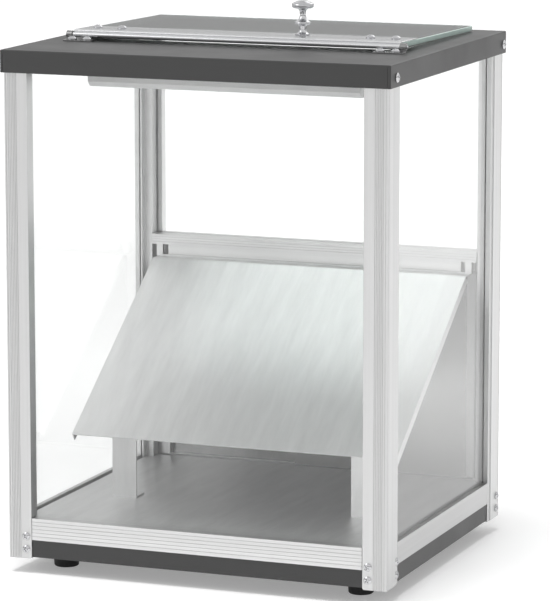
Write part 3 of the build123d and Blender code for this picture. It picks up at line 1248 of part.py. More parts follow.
# ---- Rear services: rocker switch, cable gland and terminal block -----------------------
with BuildPart() as switch_body:
    with BuildSketch(switch_plane):
        Rectangle(BEZEL_WIDTH, BEZEL_HEIGHT)
    extrude(amount=BEZEL_RISE)
    with BuildSketch(switch_plane):
        Rectangle(SWITCH_WIDTH, SWITCH_HEIGHT)
    extrude(amount=-SWITCH_DEPTH)
    with BuildSketch(switch_plane.offset(BEZEL_RISE)):
        Rectangle(ROCKER_WIDTH + 2 * ROCKER_PLAY, ROCKER_HEIGHT + 2 * ROCKER_PLAY)
    extrude(amount=-BEZEL_RISE - SWITCH_POCKET, mode=Mode.SUBTRACT)
switch_body.part.label = "switch_body"
export_step(switch_body.part, "parts/switch_body.step")

# Rocker: pivots about a vertical axis just inside the bezel and rests tipped to one side.
lean = radians(ROCKER_TILT)
rocker_axes = {"x_dir": (cos(lean), -sin(lean), 0), "z_dir": (0, 0, 1)}
rocker_plane = Plane(origin=switch_plane.origin, **rocker_axes)
with BuildPart() as switch_rocker:
    with BuildSketch(rocker_plane.offset(-ROCKER_HEIGHT / 2)):
        half = ROCKER_WIDTH / 2
        wing = half * tan(lean)
        tip = ROCKER_RISE + wing
        with BuildLine():
            Polyline((-half, 0), (half, 0), (half, tip), (0, ROCKER_RISE), (-half, tip), close=True)
        make_face()
        Circle(ROCKER_HUB / 2)
    extrude(amount=ROCKER_HEIGHT)
switch_rocker.part.label = "switch_rocker"
export_step(switch_rocker.part, "parts/switch_rocker.step")

with BuildPart() as cable_gland:
    with BuildSketch(gland_plane):
        Circle(GLAND_FLANGE / 2)
    extrude(amount=GLAND_RISE)
    fillet(cable_gland.edges().filter_by(GeomType.CIRCLE).sort_by(Axis.Y)[-1], GLAND_ROUND)
    with BuildSketch(gland_plane):
        Circle(GLAND_NECK / 2)
    extrude(amount=-rear_reach - GLAND_PAST)
    gland_length = GLAND_RISE + rear_reach + GLAND_PAST + CUT_PAST
    bore(gland_plane.offset(GLAND_RISE), GLAND_BORE, gland_length)
cable_gland.part.label = "cable_gland"
export_step(cable_gland.part, "parts/cable_gland.step")

terminal_x = TRAY_WIDTH / 2 - TERMINAL_SIDE
terminal_base = POST_TOP - TERMINAL_HEIGHT
way_pitch = TERMINAL_WIDTH / TERMINAL_WAYS
with BuildPart() as terminal_block:
    y0 = OPENING_REAR + SHEET + TERMINAL_GAP
    y1 = POST_Y - RAIL_DEPTH - TERMINAL_GAP
    block(terminal_x, terminal_x + TERMINAL_WIDTH, y0, y1, terminal_base, POST_TOP)
    with BuildSketch(Plane.XY.offset(terminal_base)):
        way_xs = [terminal_x + way_pitch * (i + 0.5) for i in range(TERMINAL_WAYS)]
        with Locations(*[(x, (y0 + y1) / 2) for x in way_xs]):
            Circle(TERMINAL_HOLE / 2)
    extrude(amount=TERMINAL_HOLE_DEPTH, mode=Mode.SUBTRACT)
terminal_block.part.label = "terminal_block"
export_step(terminal_block.part, "parts/terminal_block.step")
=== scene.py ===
import math

import bpy
import numpy as np
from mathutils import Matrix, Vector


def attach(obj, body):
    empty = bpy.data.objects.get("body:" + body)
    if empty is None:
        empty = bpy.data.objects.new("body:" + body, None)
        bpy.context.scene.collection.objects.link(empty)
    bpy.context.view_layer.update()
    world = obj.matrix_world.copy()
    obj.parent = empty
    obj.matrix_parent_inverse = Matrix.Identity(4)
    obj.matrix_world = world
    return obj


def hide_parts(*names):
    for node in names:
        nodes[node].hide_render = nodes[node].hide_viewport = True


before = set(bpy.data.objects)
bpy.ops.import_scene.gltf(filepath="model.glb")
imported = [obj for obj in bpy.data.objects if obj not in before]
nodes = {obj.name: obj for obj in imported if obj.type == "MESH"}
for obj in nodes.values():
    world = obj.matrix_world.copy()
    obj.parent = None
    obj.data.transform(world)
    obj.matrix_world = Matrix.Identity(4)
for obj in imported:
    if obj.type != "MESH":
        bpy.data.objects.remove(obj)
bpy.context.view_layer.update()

# A glazed, heated counter cabinet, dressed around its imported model. The sections follow the
# cabinet as it is put together, from its feet to the lid. Metres, +Z up, -Y is the customer's
# side.


# ---- Camera ---------------------------------------------------------------------------------
# A long lens in front of the cabinet, well to its right and a little above its top. The frame
# is 550 x 601 pixels, so the sensor's width lies along the picture's height.
CAMERA_PLACE = (1.54893, -3.96125, 1.02356)
CAMERA_DIP = 0.1698
CAMERA_TURN = 0.3685
FOCAL_PIXELS = 3750.25
FRAME_HEIGHT = 601
SENSOR = 36.0
CAMERA_REACH = 60.0

camera_data = bpy.data.cameras.new("studio_camera")
camera_data.sensor_width = SENSOR
camera_data.lens = FOCAL_PIXELS * SENSOR / FRAME_HEIGHT
camera_data.clip_end = CAMERA_REACH
camera = bpy.data.objects.new("studio_camera", camera_data)
camera.location = CAMERA_PLACE
camera.rotation_euler = (math.pi / 2 - CAMERA_DIP, 0.0, CAMERA_TURN)
bpy.context.scene.collection.objects.link(camera)
bpy.context.scene.camera = camera
bpy.context.scene.view_settings.view_transform = "Standard"


# ---- Studio: world, lamps and floor ---------------------------------------------------------
# A white room with a broad light from overhead and two large soft lamps. Shiny faces see a grey
# band just above the horizon; the floor is a pale sweep that keeps a soft shadow.
def add_node(tree, kind, inputs=None, **settings):
    """New shader node with its settings, and its input sockets set by name or number."""
    made = tree.nodes.new(kind)
    for name, value in settings.items():
        setattr(made, name, value)
    for name, value in (inputs or {}).items():
        made.inputs[name].default_value = value
    return made


def join(tree, *pairs):
    """Links each pair of an output and an input socket."""
    for output, entry in pairs:
        tree.links.new(output, entry)


def seen_rays(tree):
    """Value that is 1 for rays from the camera, from reflections and through glass."""
    path = add_node(tree, "ShaderNodeLightPath")
    first = add_node(tree, "ShaderNodeMath", operation="MAXIMUM")
    second = add_node(tree, "ShaderNodeMath", operation="MAXIMUM")
    join(
        tree,
        (path.outputs["Is Camera Ray"], first.inputs[0]),
        (path.outputs["Is Glossy Ray"], first.inputs[1]),
        (first.outputs[0], second.inputs[0]),
        (path.outputs["Is Transmission Ray"], second.inputs[1]),
    )
    return second.outputs[0]


ROOM_LIGHT = 0.40
# What shiny faces mirror, by height: 0 is straight down, 0.5 the horizon and 1 straight up.
ROOM_STOPS = [
    (0.0, 1.0),
    (0.5, 1.0),
    (0.53, 0.42),
    (0.59, 0.42),
    (0.64, 1.0),
    (0.78, 0.95),
    (0.88, 0.75),
    (1.0, 0.85),
]
world = bpy.data.worlds.new("white_room")
bpy.context.scene.world = world
world.use_nodes = True
tree = world.node_tree
tree.nodes.clear()
path = add_node(tree, "ShaderNodeLightPath")
height = add_node(tree, "ShaderNodeSeparateXYZ")
share = add_node(tree, "ShaderNodeMapRange", {1: -1.0, 2: 1.0, 3: 0.0, 4: 1.0})
bands = add_node(tree, "ShaderNodeValToRGB")
for place, level in ROOM_STOPS[1:-1]:
    bands.color_ramp.elements.new(place)
for stop, (place, level) in zip(bands.color_ramp.elements, ROOM_STOPS):
    stop.position = place
    stop.color = (level, level, level, 1.0)
lit = add_node(tree, "ShaderNodeBackground", {"Color": (1, 1, 1, 1), "Strength": ROOM_LIGHT})
seen = add_node(tree, "ShaderNodeBackground", {"Color": (1, 1, 1, 1), "Strength": 1.0})
mirrored = add_node(tree, "ShaderNodeBackground", {"Strength": 1.0})
first = add_node(tree, "ShaderNodeMixShader")
second = add_node(tree, "ShaderNodeMixShader")
out = add_node(tree, "ShaderNodeOutputWorld")
join(
    tree,
    (add_node(tree, "ShaderNodeTexCoord").outputs["Generated"], height.inputs[0]),
    (height.outputs["Z"], share.inputs[0]),
    (share.outputs[0], bands.inputs[0]),
    (bands.outputs[0], mirrored.inputs["Color"]),
    (seen_rays(tree), first.inputs[0]),
    (lit.outputs[0], first.inputs[1]),
    (seen.outputs[0], first.inputs[2]),
    (path.outputs["Is Glossy Ray"], second.inputs[0]),
    (first.outputs[0], second.inputs[1]),
    (mirrored.outputs[0], second.inputs[2]),
    (second.outputs[0], out.inputs[0]),
)

SUN_FROM = (-0.04, -0.16, 1.0)
SUN_LEVEL = 1.9
SUN_SPREAD = math.radians(24)
sun_data = bpy.data.lights.new("broad_light", "SUN")
sun_data.energy = SUN_LEVEL
sun_data.angle = SUN_SPREAD
sun = bpy.data.objects.new("broad_light", sun_data)
sun.rotation_euler = Vector(SUN_FROM).to_track_quat("Z", "Y").to_euler()
sun.visible_glossy = False
bpy.context.scene.collection.objects.link(sun)

LAMPS = {
    "lamp_left": ((-1.9, -1.6, 2.3), 1.6, 12.0),
    "lamp_back": ((0.4, 2.4, 2.2), 1.6, 9.0),
}
LAMP_AIM = (0.0, 0.0, 0.3)
for name, (place, size, watts) in LAMPS.items():
    lamp_data = bpy.data.lights.new(name, "AREA")
    lamp_data.shape = "SQUARE"
    lamp_data.size = size
    lamp_data.energy = watts
    lamp = bpy.data.objects.new(name, lamp_data)
    aim = Vector(LAMP_AIM) - Vector(place)
    lamp.location = place
    lamp.rotation_euler = aim.to_track_quat("-Z", "Y").to_euler()
    bpy.context.scene.collection.objects.link(lamp)

FLOOR_HALF = 12.0
FLOOR_GLOW = 0.30
FLOOR_TONE = 0.80
corners = [(-1, -1), (1, -1), (1, 1), (-1, 1)]
floor_mesh = bpy.data.meshes.new("studio_floor")
floor_points = [(x * FLOOR_HALF, y * FLOOR_HALF, 0.0) for x, y in corners]
floor_mesh.from_pydata(floor_points, [], [(0, 1, 2, 3)])
studio_floor = bpy.data.objects.new("studio_floor", floor_mesh)
bpy.context.scene.collection.objects.link(studio_floor)
floor_paint = bpy.data.materials.new("floor_paint")
floor_paint.use_nodes = True
tree = floor_paint.node_tree
tree.nodes.clear()
paper = add_node(tree, "ShaderNodeBsdfDiffuse", {"Color": (FLOOR_TONE, FLOOR_TONE, FLOOR_TONE, 1)})
glow = add_node(tree, "ShaderNodeEmission", {"Color": (1, 1, 1, 1)})
lift = add_node(tree, "ShaderNodeMath", {1: FLOOR_GLOW}, operation="MULTIPLY")
both = add_node(tree, "ShaderNodeAddShader")
out = add_node(tree, "ShaderNodeOutputMaterial")
join(
    tree,
    (seen_rays(tree), lift.inputs[0]),
    (lift.outputs[0], glow.inputs["Strength"]),
    (paper.outputs[0], both.inputs[0]),
    (glow.outputs[0], both.inputs[1]),
    (both.outputs[0], out.inputs["Surface"]),
)
floor_mesh.materials.append(floor_paint)


# ---- Base pan: folded sheet steel in black powder coat --------------------------------------
# The pan closes the bottom between the posts' feet, held by screwed ears in their slots. Its
# finish is the tray's: a semi-gloss powder coat with a fine peel, and a paler edge colour that
# is a painted highlight on the folds.
def effect(name, entries, results):
    """New node group with named inputs (value or vector) and outputs, and its end nodes."""
    group = bpy.data.node_groups.new(name, "ShaderNodeTree")
    for label, default in entries.items():
        kind = "NodeSocketFloat" if isinstance(default, float) else "NodeSocketVector"
        socket = group.interface.new_socket(label, in_out="INPUT", socket_type=kind)
        socket.default_value = default
    for label, kind in results.items():
        group.interface.new_socket(label, in_out="OUTPUT", socket_type=kind)
    return group, add_node(group, "NodeGroupInput"), add_node(group, "NodeGroupOutput")


def use_effect(tree, group, **values):
    """Places a node group in a material, with its own values."""
    placed = add_node(tree, "ShaderNodeGroup", node_tree=group)
    for label, value in values.items():
        placed.inputs[label].default_value = value
    return placed


# Soft edges: the normal rounded over a small radius, and a mask of where it turns.
soft_edges, enter, leave = effect(
    "soft_edges",
    {"Radius": 0.0004},
    {"Normal": "NodeSocketVector", "Edge": "NodeSocketFloat"},
)
rounded = add_node(soft_edges, "ShaderNodeBevel", samples=6)
facing = add_node(soft_edges, "ShaderNodeNewGeometry")
alike = add_node(soft_edges, "ShaderNodeVectorMath", operation="DOT_PRODUCT")
turning = add_node(soft_edges, "ShaderNodeMapRange", {1: 1.0, 2: 0.8, 3: 0.0, 4: 1.0})
join(
    soft_edges,
    (enter.outputs["Radius"], rounded.inputs["Radius"]),
    (rounded.outputs[0], alike.inputs[0]),
    (facing.outputs["Normal"], alike.inputs[1]),
    (alike.outputs["Value"], turning.inputs[0]),
    (rounded.outputs[0], leave.inputs["Normal"]),
    (turning.outputs[0], leave.inputs["Edge"]),
)

# Peel: the fine pebbled skin of powder coat or moulding, with a slow drift of its tone.
peel, enter, leave = effect(
    "peel",
    {"Place": (0.0, 0.0, 0.0), "Grain": 900.0, "Drift": 9.0},
    {"Height": "NodeSocketFloat", "Tone": "NodeSocketFloat"},
)
pebbles = add_node(peel, "ShaderNodeTexNoise", {"Detail": 2.0, "Roughness": 0.5})
slow = add_node(peel, "ShaderNodeTexNoise", {"Detail": 3.0, "Roughness": 0.6})
join(
    peel,
    (enter.outputs["Place"], pebbles.inputs["Vector"]),
    (enter.outputs["Place"], slow.inputs["Vector"]),
    (enter.outputs["Grain"], pebbles.inputs["Scale"]),
    (enter.outputs["Drift"], slow.inputs["Scale"]),
    (pebbles.outputs["Fac"], leave.inputs["Height"]),
    (slow.outputs["Fac"], leave.inputs["Tone"]),
)


def blank(name, color, roughness, **sockets):
    """New material with one Principled shader, its values on its own sockets."""
    material = bpy.data.materials.new(name)
    material.use_nodes = True
    tree = material.node_tree
    shader = tree.nodes["Principled BSDF"]
    shader.inputs["Base Color"].default_value = (*color, 1.0)
    shader.inputs["Roughness"].default_value = roughness
    for label, value in sockets.items():
        shader.inputs[label.replace("_", " ")].default_value = value
    return material, tree, shader


def grey(value):
    """Neutral colour of one level."""
    return (value, value, value)


def shade(tree, shader, mask, low, high):
    """Base colour that goes from low to high with a mask; returns the mix node."""
    mix = add_node(tree, "ShaderNodeMix", data_type="RGBA")
    mix.inputs["A"].default_value = (*low, 1.0)
    mix.inputs["B"].default_value = (*high, 1.0)
    join(tree, (mask, mix.inputs[0]), (mix.outputs["Result"], shader.inputs["Base Color"]))
    return mix


def spread(tree, value, entry, low, high, start=0.3, stop=0.7):
    """Feeds an input with a value mapped from start..stop to low..high."""
    span = add_node(tree, "ShaderNodeMapRange", {1: start, 2: stop, 3: low, 4: high})
    join(tree, (value, span.inputs[0]), (span.outputs[0], entry))


SKIN_DRIFT = 0.05
SKIN_BUMP = 0.35


def skin(name, dark, pale, roughness, grain, depth, edge, radius=0.0005, **sockets):
    """Coated or moulded skin: pebbled, drifting from dark to pale, and of one colour on edges.

    The tone is slow noise. The edge colour is painted light: it covers the tone as far as the
    rounded normal turns away from the face's own, a painted highlight where it is paler and
    painted shade where it is darker.
    """
    material, tree, shader = blank(name, dark, roughness, **sockets)
    place = add_node(tree, "ShaderNodeTexCoord")
    pebbled = use_effect(tree, peel, Grain=grain)
    edges = use_effect(tree, soft_edges, Radius=radius)
    bump = add_node(tree, "ShaderNodeBump", {"Strength": SKIN_BUMP, "Distance": depth})
    mix = shade(tree, shader, pebbled.outputs["Tone"], dark, pale)
    # Painted light along rounded edges: the edge colour laid over the tone by the edge mask.
    painted_edge_tone = add_node(tree, "ShaderNodeMix", data_type="RGBA")
    painted_edge_tone.inputs["B"].default_value = (*edge, 1.0)
    join(
        tree,
        (place.outputs["Object"], pebbled.inputs["Place"]),
        (pebbled.outputs["Height"], bump.inputs["Height"]),
        (edges.outputs["Normal"], bump.inputs["Normal"]),
        (bump.outputs[0], shader.inputs["Normal"]),
        (edges.outputs["Edge"], painted_edge_tone.inputs[0]),
        (mix.outputs["Result"], painted_edge_tone.inputs["A"]),
        (painted_edge_tone.outputs["Result"], shader.inputs["Base Color"]),
    )
    rough = shader.inputs["Roughness"]
    spread(tree, pebbled.outputs["Tone"], rough, roughness - SKIN_DRIFT, roughness + SKIN_DRIFT)
    return material


def dress(material, *names):
    """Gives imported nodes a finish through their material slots."""
    for name in names:
        for holder in nodes[name].material_slots:
            holder.material = material


COAT_PEBBLES = 900.0
COAT_PEEL = 0.00005
black_coat = skin(
    "black_coat",
    grey(0.021),
    grey(0.029),
    0.42,
    COAT_PEBBLES,
    COAT_PEEL,
    grey(0.05),
    Specular_IOR_Level=0.75,
)
dress(black_coat, "base_pan")


# ---- Feet: black moulded rubber, each held up into the pan by a zinc-plated screw ------------
# The screws stand in a recess under each foot; their nuts sit inside the pan. The tray's and
# the lid's nuts have the same zinc plating.
# The rubber's paler edge colour is a painted highlight along its rounded edges.
foot_rubber = skin("foot_rubber", grey(0.010), grey(0.018), 0.62, 1400.0, 0.00005, grey(0.03))
dress(foot_rubber, "foot_front_left", "foot_front_right", "foot_rear_left", "foot_rear_right")

# Drawn lines: long fine marks along one direction, set by how the place is stretched.
drawn_lines, enter, leave = effect(
    "drawn_lines",
    {"Place": (0.0, 0.0, 0.0)},
    {"Height": "NodeSocketFloat", "Tone": "NodeSocketFloat"},
)
FINE_LINES = {"Scale": 1.0, "Detail": 4.0, "Roughness": 0.65}
BROAD_LINES = {"Scale": 0.06, "Detail": 5.0, "Roughness": 0.7}
fine = add_node(drawn_lines, "ShaderNodeTexNoise", FINE_LINES)
broad = add_node(drawn_lines, "ShaderNodeTexNoise", BROAD_LINES)
join(
    drawn_lines,
    (enter.outputs["Place"], fine.inputs["Vector"]),
    (enter.outputs["Place"], broad.inputs["Vector"]),
    (fine.outputs["Fac"], leave.inputs["Height"]),
    (broad.outputs["Fac"], leave.inputs["Tone"]),
)


METAL_DRIFT = 0.06
METAL_BUMP = 0.3


def metal(name, dark, pale, roughness, stretch, depth=0.00002, radius=0.0004, edge=None):
    """Bare metal with drawn marks, and an edge colour along its corners if one is given.

    The marks are noise of the place times stretch, which is lines per metre along X, Y and Z.
    The edge colour is painted shade, laid where the rounded normal turns at corners and grooves.
    """
    material, tree, shader = blank(name, dark, roughness, Metallic=1.0)
    place = add_node(tree, "ShaderNodeTexCoord")
    pull = add_node(tree, "ShaderNodeMapping")
    pull.inputs["Scale"].default_value = stretch
    lines = use_effect(tree, drawn_lines)
    edges = use_effect(tree, soft_edges, Radius=radius)
    bump = add_node(tree, "ShaderNodeBump", {"Strength": METAL_BUMP, "Distance": depth})
    tone = add_node(tree, "ShaderNodeMapRange", {1: 0.3, 2: 0.7, 3: 0.0, 4: 1.0})
    mix = shade(tree, shader, tone.outputs[0], dark, pale)
    # Painted shade: the edge colour darkens corners and grooves where the rounded normal turns.
    if edge is not None:
        painted_corner_shade = add_node(tree, "ShaderNodeMix", data_type="RGBA")
        painted_corner_shade.inputs["B"].default_value = (*edge, 1.0)
        join(
            tree,
            (edges.outputs["Edge"], painted_corner_shade.inputs[0]),
            (mix.outputs["Result"], painted_corner_shade.inputs["A"]),
            (painted_corner_shade.outputs["Result"], shader.inputs["Base Color"]),
        )
    join(
        tree,
        (place.outputs["Object"], pull.inputs["Vector"]),
        (pull.outputs[0], lines.inputs["Place"]),
        (lines.outputs["Tone"], tone.inputs[0]),
        (lines.outputs["Height"], bump.inputs["Height"]),
        (edges.outputs["Normal"], bump.inputs["Normal"]),
        (bump.outputs[0], shader.inputs["Normal"]),
    )
    rough = shader.inputs["Roughness"]
    spread(tree, lines.outputs["Height"], rough, roughness - METAL_DRIFT, roughness + METAL_DRIFT)
    return material


ZINC_DARK = (0.50, 0.51, 0.52)
ZINC_PALE = (0.62, 0.63, 0.62)
zinc_plate = metal("zinc_plate", ZINC_DARK, ZINC_PALE, 0.34, (600, 600, 600))
dress(zinc_plate, "foot_screws", "foot_nuts", "tray_nuts", "lid_nuts")


# ---- Corner posts and rails: natural anodised aluminium extrusions ---------------------------
# The posts' faces carry fine drawn ribs, the front rail too, with painted shade in their grooves
# and along the extrusions' corners. Each finish is drawn along its own length, so one is made for
# the posts and one for each direction of the rails. The front and rear rails' copy is paler, as
# painted light, and the side rails' copy darker, as painted shade.
ACROSS = 1600.0
ALONG = 7.0
SATIN = 0.36
RIB_SHADE = grey(0.46)
UP, WIDE, DEEP = (ACROSS, ACROSS, ALONG), (ALONG, ACROSS, ACROSS), (ACROSS, ALONG, ACROSS)
anodised_posts = metal("anodised_posts", grey(0.60), grey(0.70), SATIN, UP, edge=RIB_SHADE)
anodised_wide_lit = metal("anodised_wide_lit", grey(0.66), grey(0.76), SATIN, WIDE, edge=RIB_SHADE)
anodised_deep_shaded = metal("anodised_deep_shaded", grey(0.52), grey(0.60), SATIN, DEEP, edge=RIB_SHADE)
dress(anodised_posts, "post_front_left", "post_front_right", "post_rear_left", "post_rear_right")
dress(anodised_posts, "door_jamb_left", "door_jamb_right")
dress(anodised_wide_lit, "front_bottom_rail", "rear_bottom_rail", "rear_middle_rail")
dress(anodised_wide_lit, "front_top_rail", "rear_top_rail")
dress(anodised_deep_shaded, "left_bottom_rail", "right_bottom_rail", "left_top_rail", "right_top_rail")

# Polished machine screws with domed cross-recess heads, through the posts' faces and sides.
CHROME_DARK = (0.50, 0.505, 0.52)
CHROME_PALE = (0.68, 0.68, 0.69)
polished = metal("polished", CHROME_DARK, CHROME_PALE, 0.10, (500, 500, 500), 0.00001, 0.0002)
dress(polished, "chute_screws")
TRAY_WIDTH = 0.460
TRAY_TOP = 0.595
POST_X = 0.2268
POST_Y = 0.1998
SHANK = 0.004
HEAD_ROWS = 16
HEAD_SIDES = 48
# Under 1, the dome's rows of points stand closer together near its rim.
ROW_CROWDING = 0.9
# The rim's height is a share of the head's rise, and its foot's radius of the head's own. The
# arris and the slots' measures are shares of the head's width, the slots' depth of its rise.
RIM_SHARE = 0.35
RIM_FOOT = 0.96
RIM_ARRIS = 0.06
SLOT_HALF_WIDTH = 0.075
SLOT_HALF_LENGTH = 0.29
SLOT_SIDE = 0.02
SLOT_END = 0.04
SLOT_DEPTH = 0.5


def grid_faces(rows, columns, first=0):
    """Quads between neighbouring rows of points; each row runs round and closes on itself."""
    row = np.arange(rows - 1)[:, None] * columns
    here = np.arange(columns)[None, :]
    after = (here + 1) % columns
    above = row + columns
    quads = np.stack([row + here, row + after, above + after, above + here], axis=-1)
    return (first + quads.reshape(-1, 4)).tolist()


def make_piece(name, points, faces, body, replaced, finishes, face_finish=None, crease=35):
    """Puts points and faces into a mesh, smooth up to the crease angle, and fits the piece.

    The piece rides a body and stands for the replaced nodes; face_finish numbers each face's
    finish.
    """
    mesh = bpy.data.meshes.new(name)
    mesh.from_pydata(np.asarray(points).reshape(-1, 3).tolist(), [], faces)
    mesh.validate()
    for finish in finishes:
        mesh.materials.append(finish)
    if face_finish is not None:
        mesh.polygons.foreach_set("material_index", np.asarray(face_finish, dtype=np.int32))
    mesh.shade_smooth()
    mesh.set_sharp_from_angle(angle=math.radians(crease))
    piece = bpy.data.objects.new(name, mesh)
    bpy.context.scene.collection.objects.link(piece)
    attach(piece, body)
    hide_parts(*replaced)


def turned(profile, sides):
    """Rows of points from a profile (radius, height) turned about the z axis in equal steps."""
    radius, height = np.asarray(profile, dtype=float).T
    turn = 2 * np.pi * np.arange(sides) / sides
    x = radius[:, None] * np.cos(turn)
    y = radius[:, None] * np.sin(turn)
    return np.stack([x, y, np.broadcast_to(height[:, None], x.shape)], axis=-1)


def screw_shape(head, rise, length):
    """Shank, rim and spherical dome turned about z. Two crossed slots sink into the dome.

    The dome is the ball through the rim and the top. A point is in a slot where the smaller of
    |x| and |y| is under the slot's half width and the larger under its half length.
    """
    half, rim = head / 2, RIM_SHARE * rise
    ball = (half**2 + (rise - rim) ** 2) / (2 * (rise - rim))
    radius = half * np.linspace(1.0, 0.0, HEAD_ROWS) ** ROW_CROWDING
    dome = rise - ball + np.sqrt(ball**2 - radius**2)
    shank = [(0.0, -length), (SHANK / 2, -length), (SHANK / 2, 0.0)]
    foot = [(half * RIM_FOOT, 0.0), (half, RIM_ARRIS * head)]
    points = turned(shank + foot + list(zip(radius, dome)), HEAD_SIDES)
    x, y = np.abs(points[..., 0]), np.abs(points[..., 1])
    within_width = (SLOT_HALF_WIDTH * head - np.minimum(x, y)) / (SLOT_SIDE * head)
    within_length = (SLOT_HALF_LENGTH * head - np.maximum(x, y)) / (SLOT_END * head)
    sunk = np.minimum(np.clip(within_width, 0, 1), np.clip(within_length, 0, 1))
    sunk = sunk * (points[..., 2] > rim)
    points[..., 2] -= sunk * SLOT_DEPTH * rise
    return points


def screws(name, places, head, rise, length, body):
    """One mesh of like screws; a place is a point, an outward direction and a turn in degrees.

    Each screw is the shape turned onto three axes: two square to the direction, and the
    direction itself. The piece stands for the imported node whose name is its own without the
    last word.
    """
    shape = screw_shape(head, rise, length)
    rows, columns = shape.shape[:2]
    points, faces = [], []
    for number, (origin, out, turn) in enumerate(places):
        normal = np.array(out, dtype=float)
        normal /= np.linalg.norm(normal)
        start = [0.0, 0.6, 0.8] if abs(normal[0]) > 0.9 else [1.0, 0.0, 0.0]
        side = np.cross(start, normal)
        side /= np.linalg.norm(side)
        up = np.cross(normal, side)
        c, s = math.cos(math.radians(turn)), math.sin(math.radians(turn))
        axes = np.stack([c * side + s * up, c * up - s * side, normal])
        points.append(np.asarray(origin) + shape.reshape(-1, 3) @ axes)
        faces += grid_faces(rows, columns, number * rows * columns)
    node = name.rsplit("_", 1)[0]
    make_piece(name, np.concatenate(points), faces, body, [node], [polished], crease=28)


POST_SCREW_HEAD = 0.0094
POST_SCREW_RISE = 0.0028
POST_SCREW_LENGTH = 0.0146
LOW_SCREW_HEIGHTS = (0.028, 0.043)
FACE_SCREW_IN = 0.0215
LIP_INSET = 0.001
LIP_SCREW_BACK = 0.0349
REAR_SCREW_IN = 0.009
face_x = POST_X - FACE_SCREW_IN
lip_x = POST_X - LIP_INSET
lip_y = -POST_Y + LIP_SCREW_BACK
rear_side_y = POST_Y - REAR_SCREW_IN
# Neighbouring screws' slots stop at different turns, as if driven by hand.
post_places = []
for side in (-1, 1):
    for level, z in enumerate(LOW_SCREW_HEIGHTS):
        turn = 17 + 31 * level + 12 * side
        post_places += [
            ((side * face_x, -POST_Y, z), (0, -1, 0), turn),
            ((side * face_x, POST_Y, z), (0, 1, 0), turn + 40),
            ((side * lip_x, lip_y, z), (side, 0, 0), turn + 65),
            ((side * POST_X, rear_side_y, z), (side, 0, 0), turn + 8),
        ]
POST_SCREW = (POST_SCREW_HEAD, POST_SCREW_RISE, POST_SCREW_LENGTH)
screws("post_screws_heads", post_places, *POST_SCREW, "cabinet")


# ---- Floor plate, chute and legs: stainless sheet with a rolled, lightly brushed finish ------
# The chute has its sides turned down. It hangs under the middle rail and rests on two bent
# legs, which stand on the flat floor plate.
rolled_sheet = metal("rolled_sheet", grey(0.76), grey(0.86), 0.44, (1100, 160, 160), 0.000010)
dress(rolled_sheet, "chute", "floor_plate", "chute_leg_left", "chute_leg_right")


# ---- Fixed panes: clear toughened glass in the slots of posts and rails ----------------------
# The lamps' light passes straight through them and reaches the floor and the inside. Wiping
# leaves a faint drift in their gloss.
GLASS_HAZE = 0.02
GLASS_DRIFT = 1.06


def glass(name, clear, roughness, ior=1.5, **sockets):
    """Glass in a clear tint, with wiped marks in its gloss and tone.

    Rays from lamps pass straight through it, dimmed by the same tint.
    """
    sockets |= {"Transmission_Weight": 1.0, "IOR": ior}
    material, tree, shader = blank(name, clear, roughness, **sockets)
    place = add_node(tree, "ShaderNodeTexCoord")
    wipes = add_node(tree, "ShaderNodeTexNoise", {"Scale": 14.0, "Detail": 4.0, "Roughness": 0.6})
    rough = shader.inputs["Roughness"]
    spread(tree, wipes.outputs["Fac"], rough, roughness, roughness + GLASS_HAZE)
    path = add_node(tree, "ShaderNodeLightPath")
    through = add_node(tree, "ShaderNodeBsdfTransparent", {"Color": (*clear, 1.0)})
    choice = add_node(tree, "ShaderNodeMixShader")
    out = tree.nodes["Material Output"]
    join(
        tree,
        (place.outputs["Object"], wipes.inputs["Vector"]),
        (path.outputs["Is Shadow Ray"], choice.inputs[0]),
        (shader.outputs[0], choice.inputs[1]),
        (through.outputs[0], choice.inputs[2]),
        (choice.outputs[0], out.inputs["Surface"]),
    )
    wiped = tuple(min(1.0, GLASS_DRIFT * level) for level in clear)
    shade(tree, shader, wipes.outputs["Fac"], clear, wiped)
    return material


pane_glass = glass("pane_glass", (0.985, 0.995, 0.99), 0.0, Specular_IOR_Level=0.2)
dress(pane_glass, "glass_front", "glass_left", "glass_right", "glass_rear")


# ---- Rear doors: polished stainless panels that slide in the middle and bottom rails --------
# Each has a black moulded ring as its finger pull.
# Painted shade: the door steel is coloured dark for the shade that falls on it under the chute.
door_sheet_shaded = metal("door_sheet_shaded", grey(0.32), grey(0.38), 0.20, (900, 900, ALONG))
dress(door_sheet_shaded, "rear_door_left", "rear_door_right")
# The moulding's paler edge colour is a painted highlight along its rounded edges.
black_moulding = skin("black_moulding", grey(0.012), grey(0.020), 0.42, 1500.0, 0.00004, grey(0.03))
dress(black_moulding, "door_pull_left", "door_pull_right")


# ---- Top tray: folded sheet steel in the pan's black coat, screwed over the posts -------------
# Its skirt is doubled, and the loading opening's edge is turned down.
dress(black_coat, "top_tray")
TRAY_SCREW = (0.0108, 0.0032, 0.0122)
TRAY_SCREW_HEIGHT = TRAY_TOP - 0.015
TRAY_SCREW_FRONT = -POST_Y + 0.017
TRAY_SCREW_REAR = POST_Y - 0.008
tray_places = []
for side in (-1, 1):
    tray_places += [
        ((side * TRAY_WIDTH / 2, TRAY_SCREW_FRONT, TRAY_SCREW_HEIGHT), (side, 0, 0), 20),
        ((side * TRAY_WIDTH / 2, TRAY_SCREW_REAR, TRAY_SCREW_HEIGHT), (side, 0, 0), 52),
    ]
screws("tray_screws_heads", tray_places, *TRAY_SCREW, "cabinet")


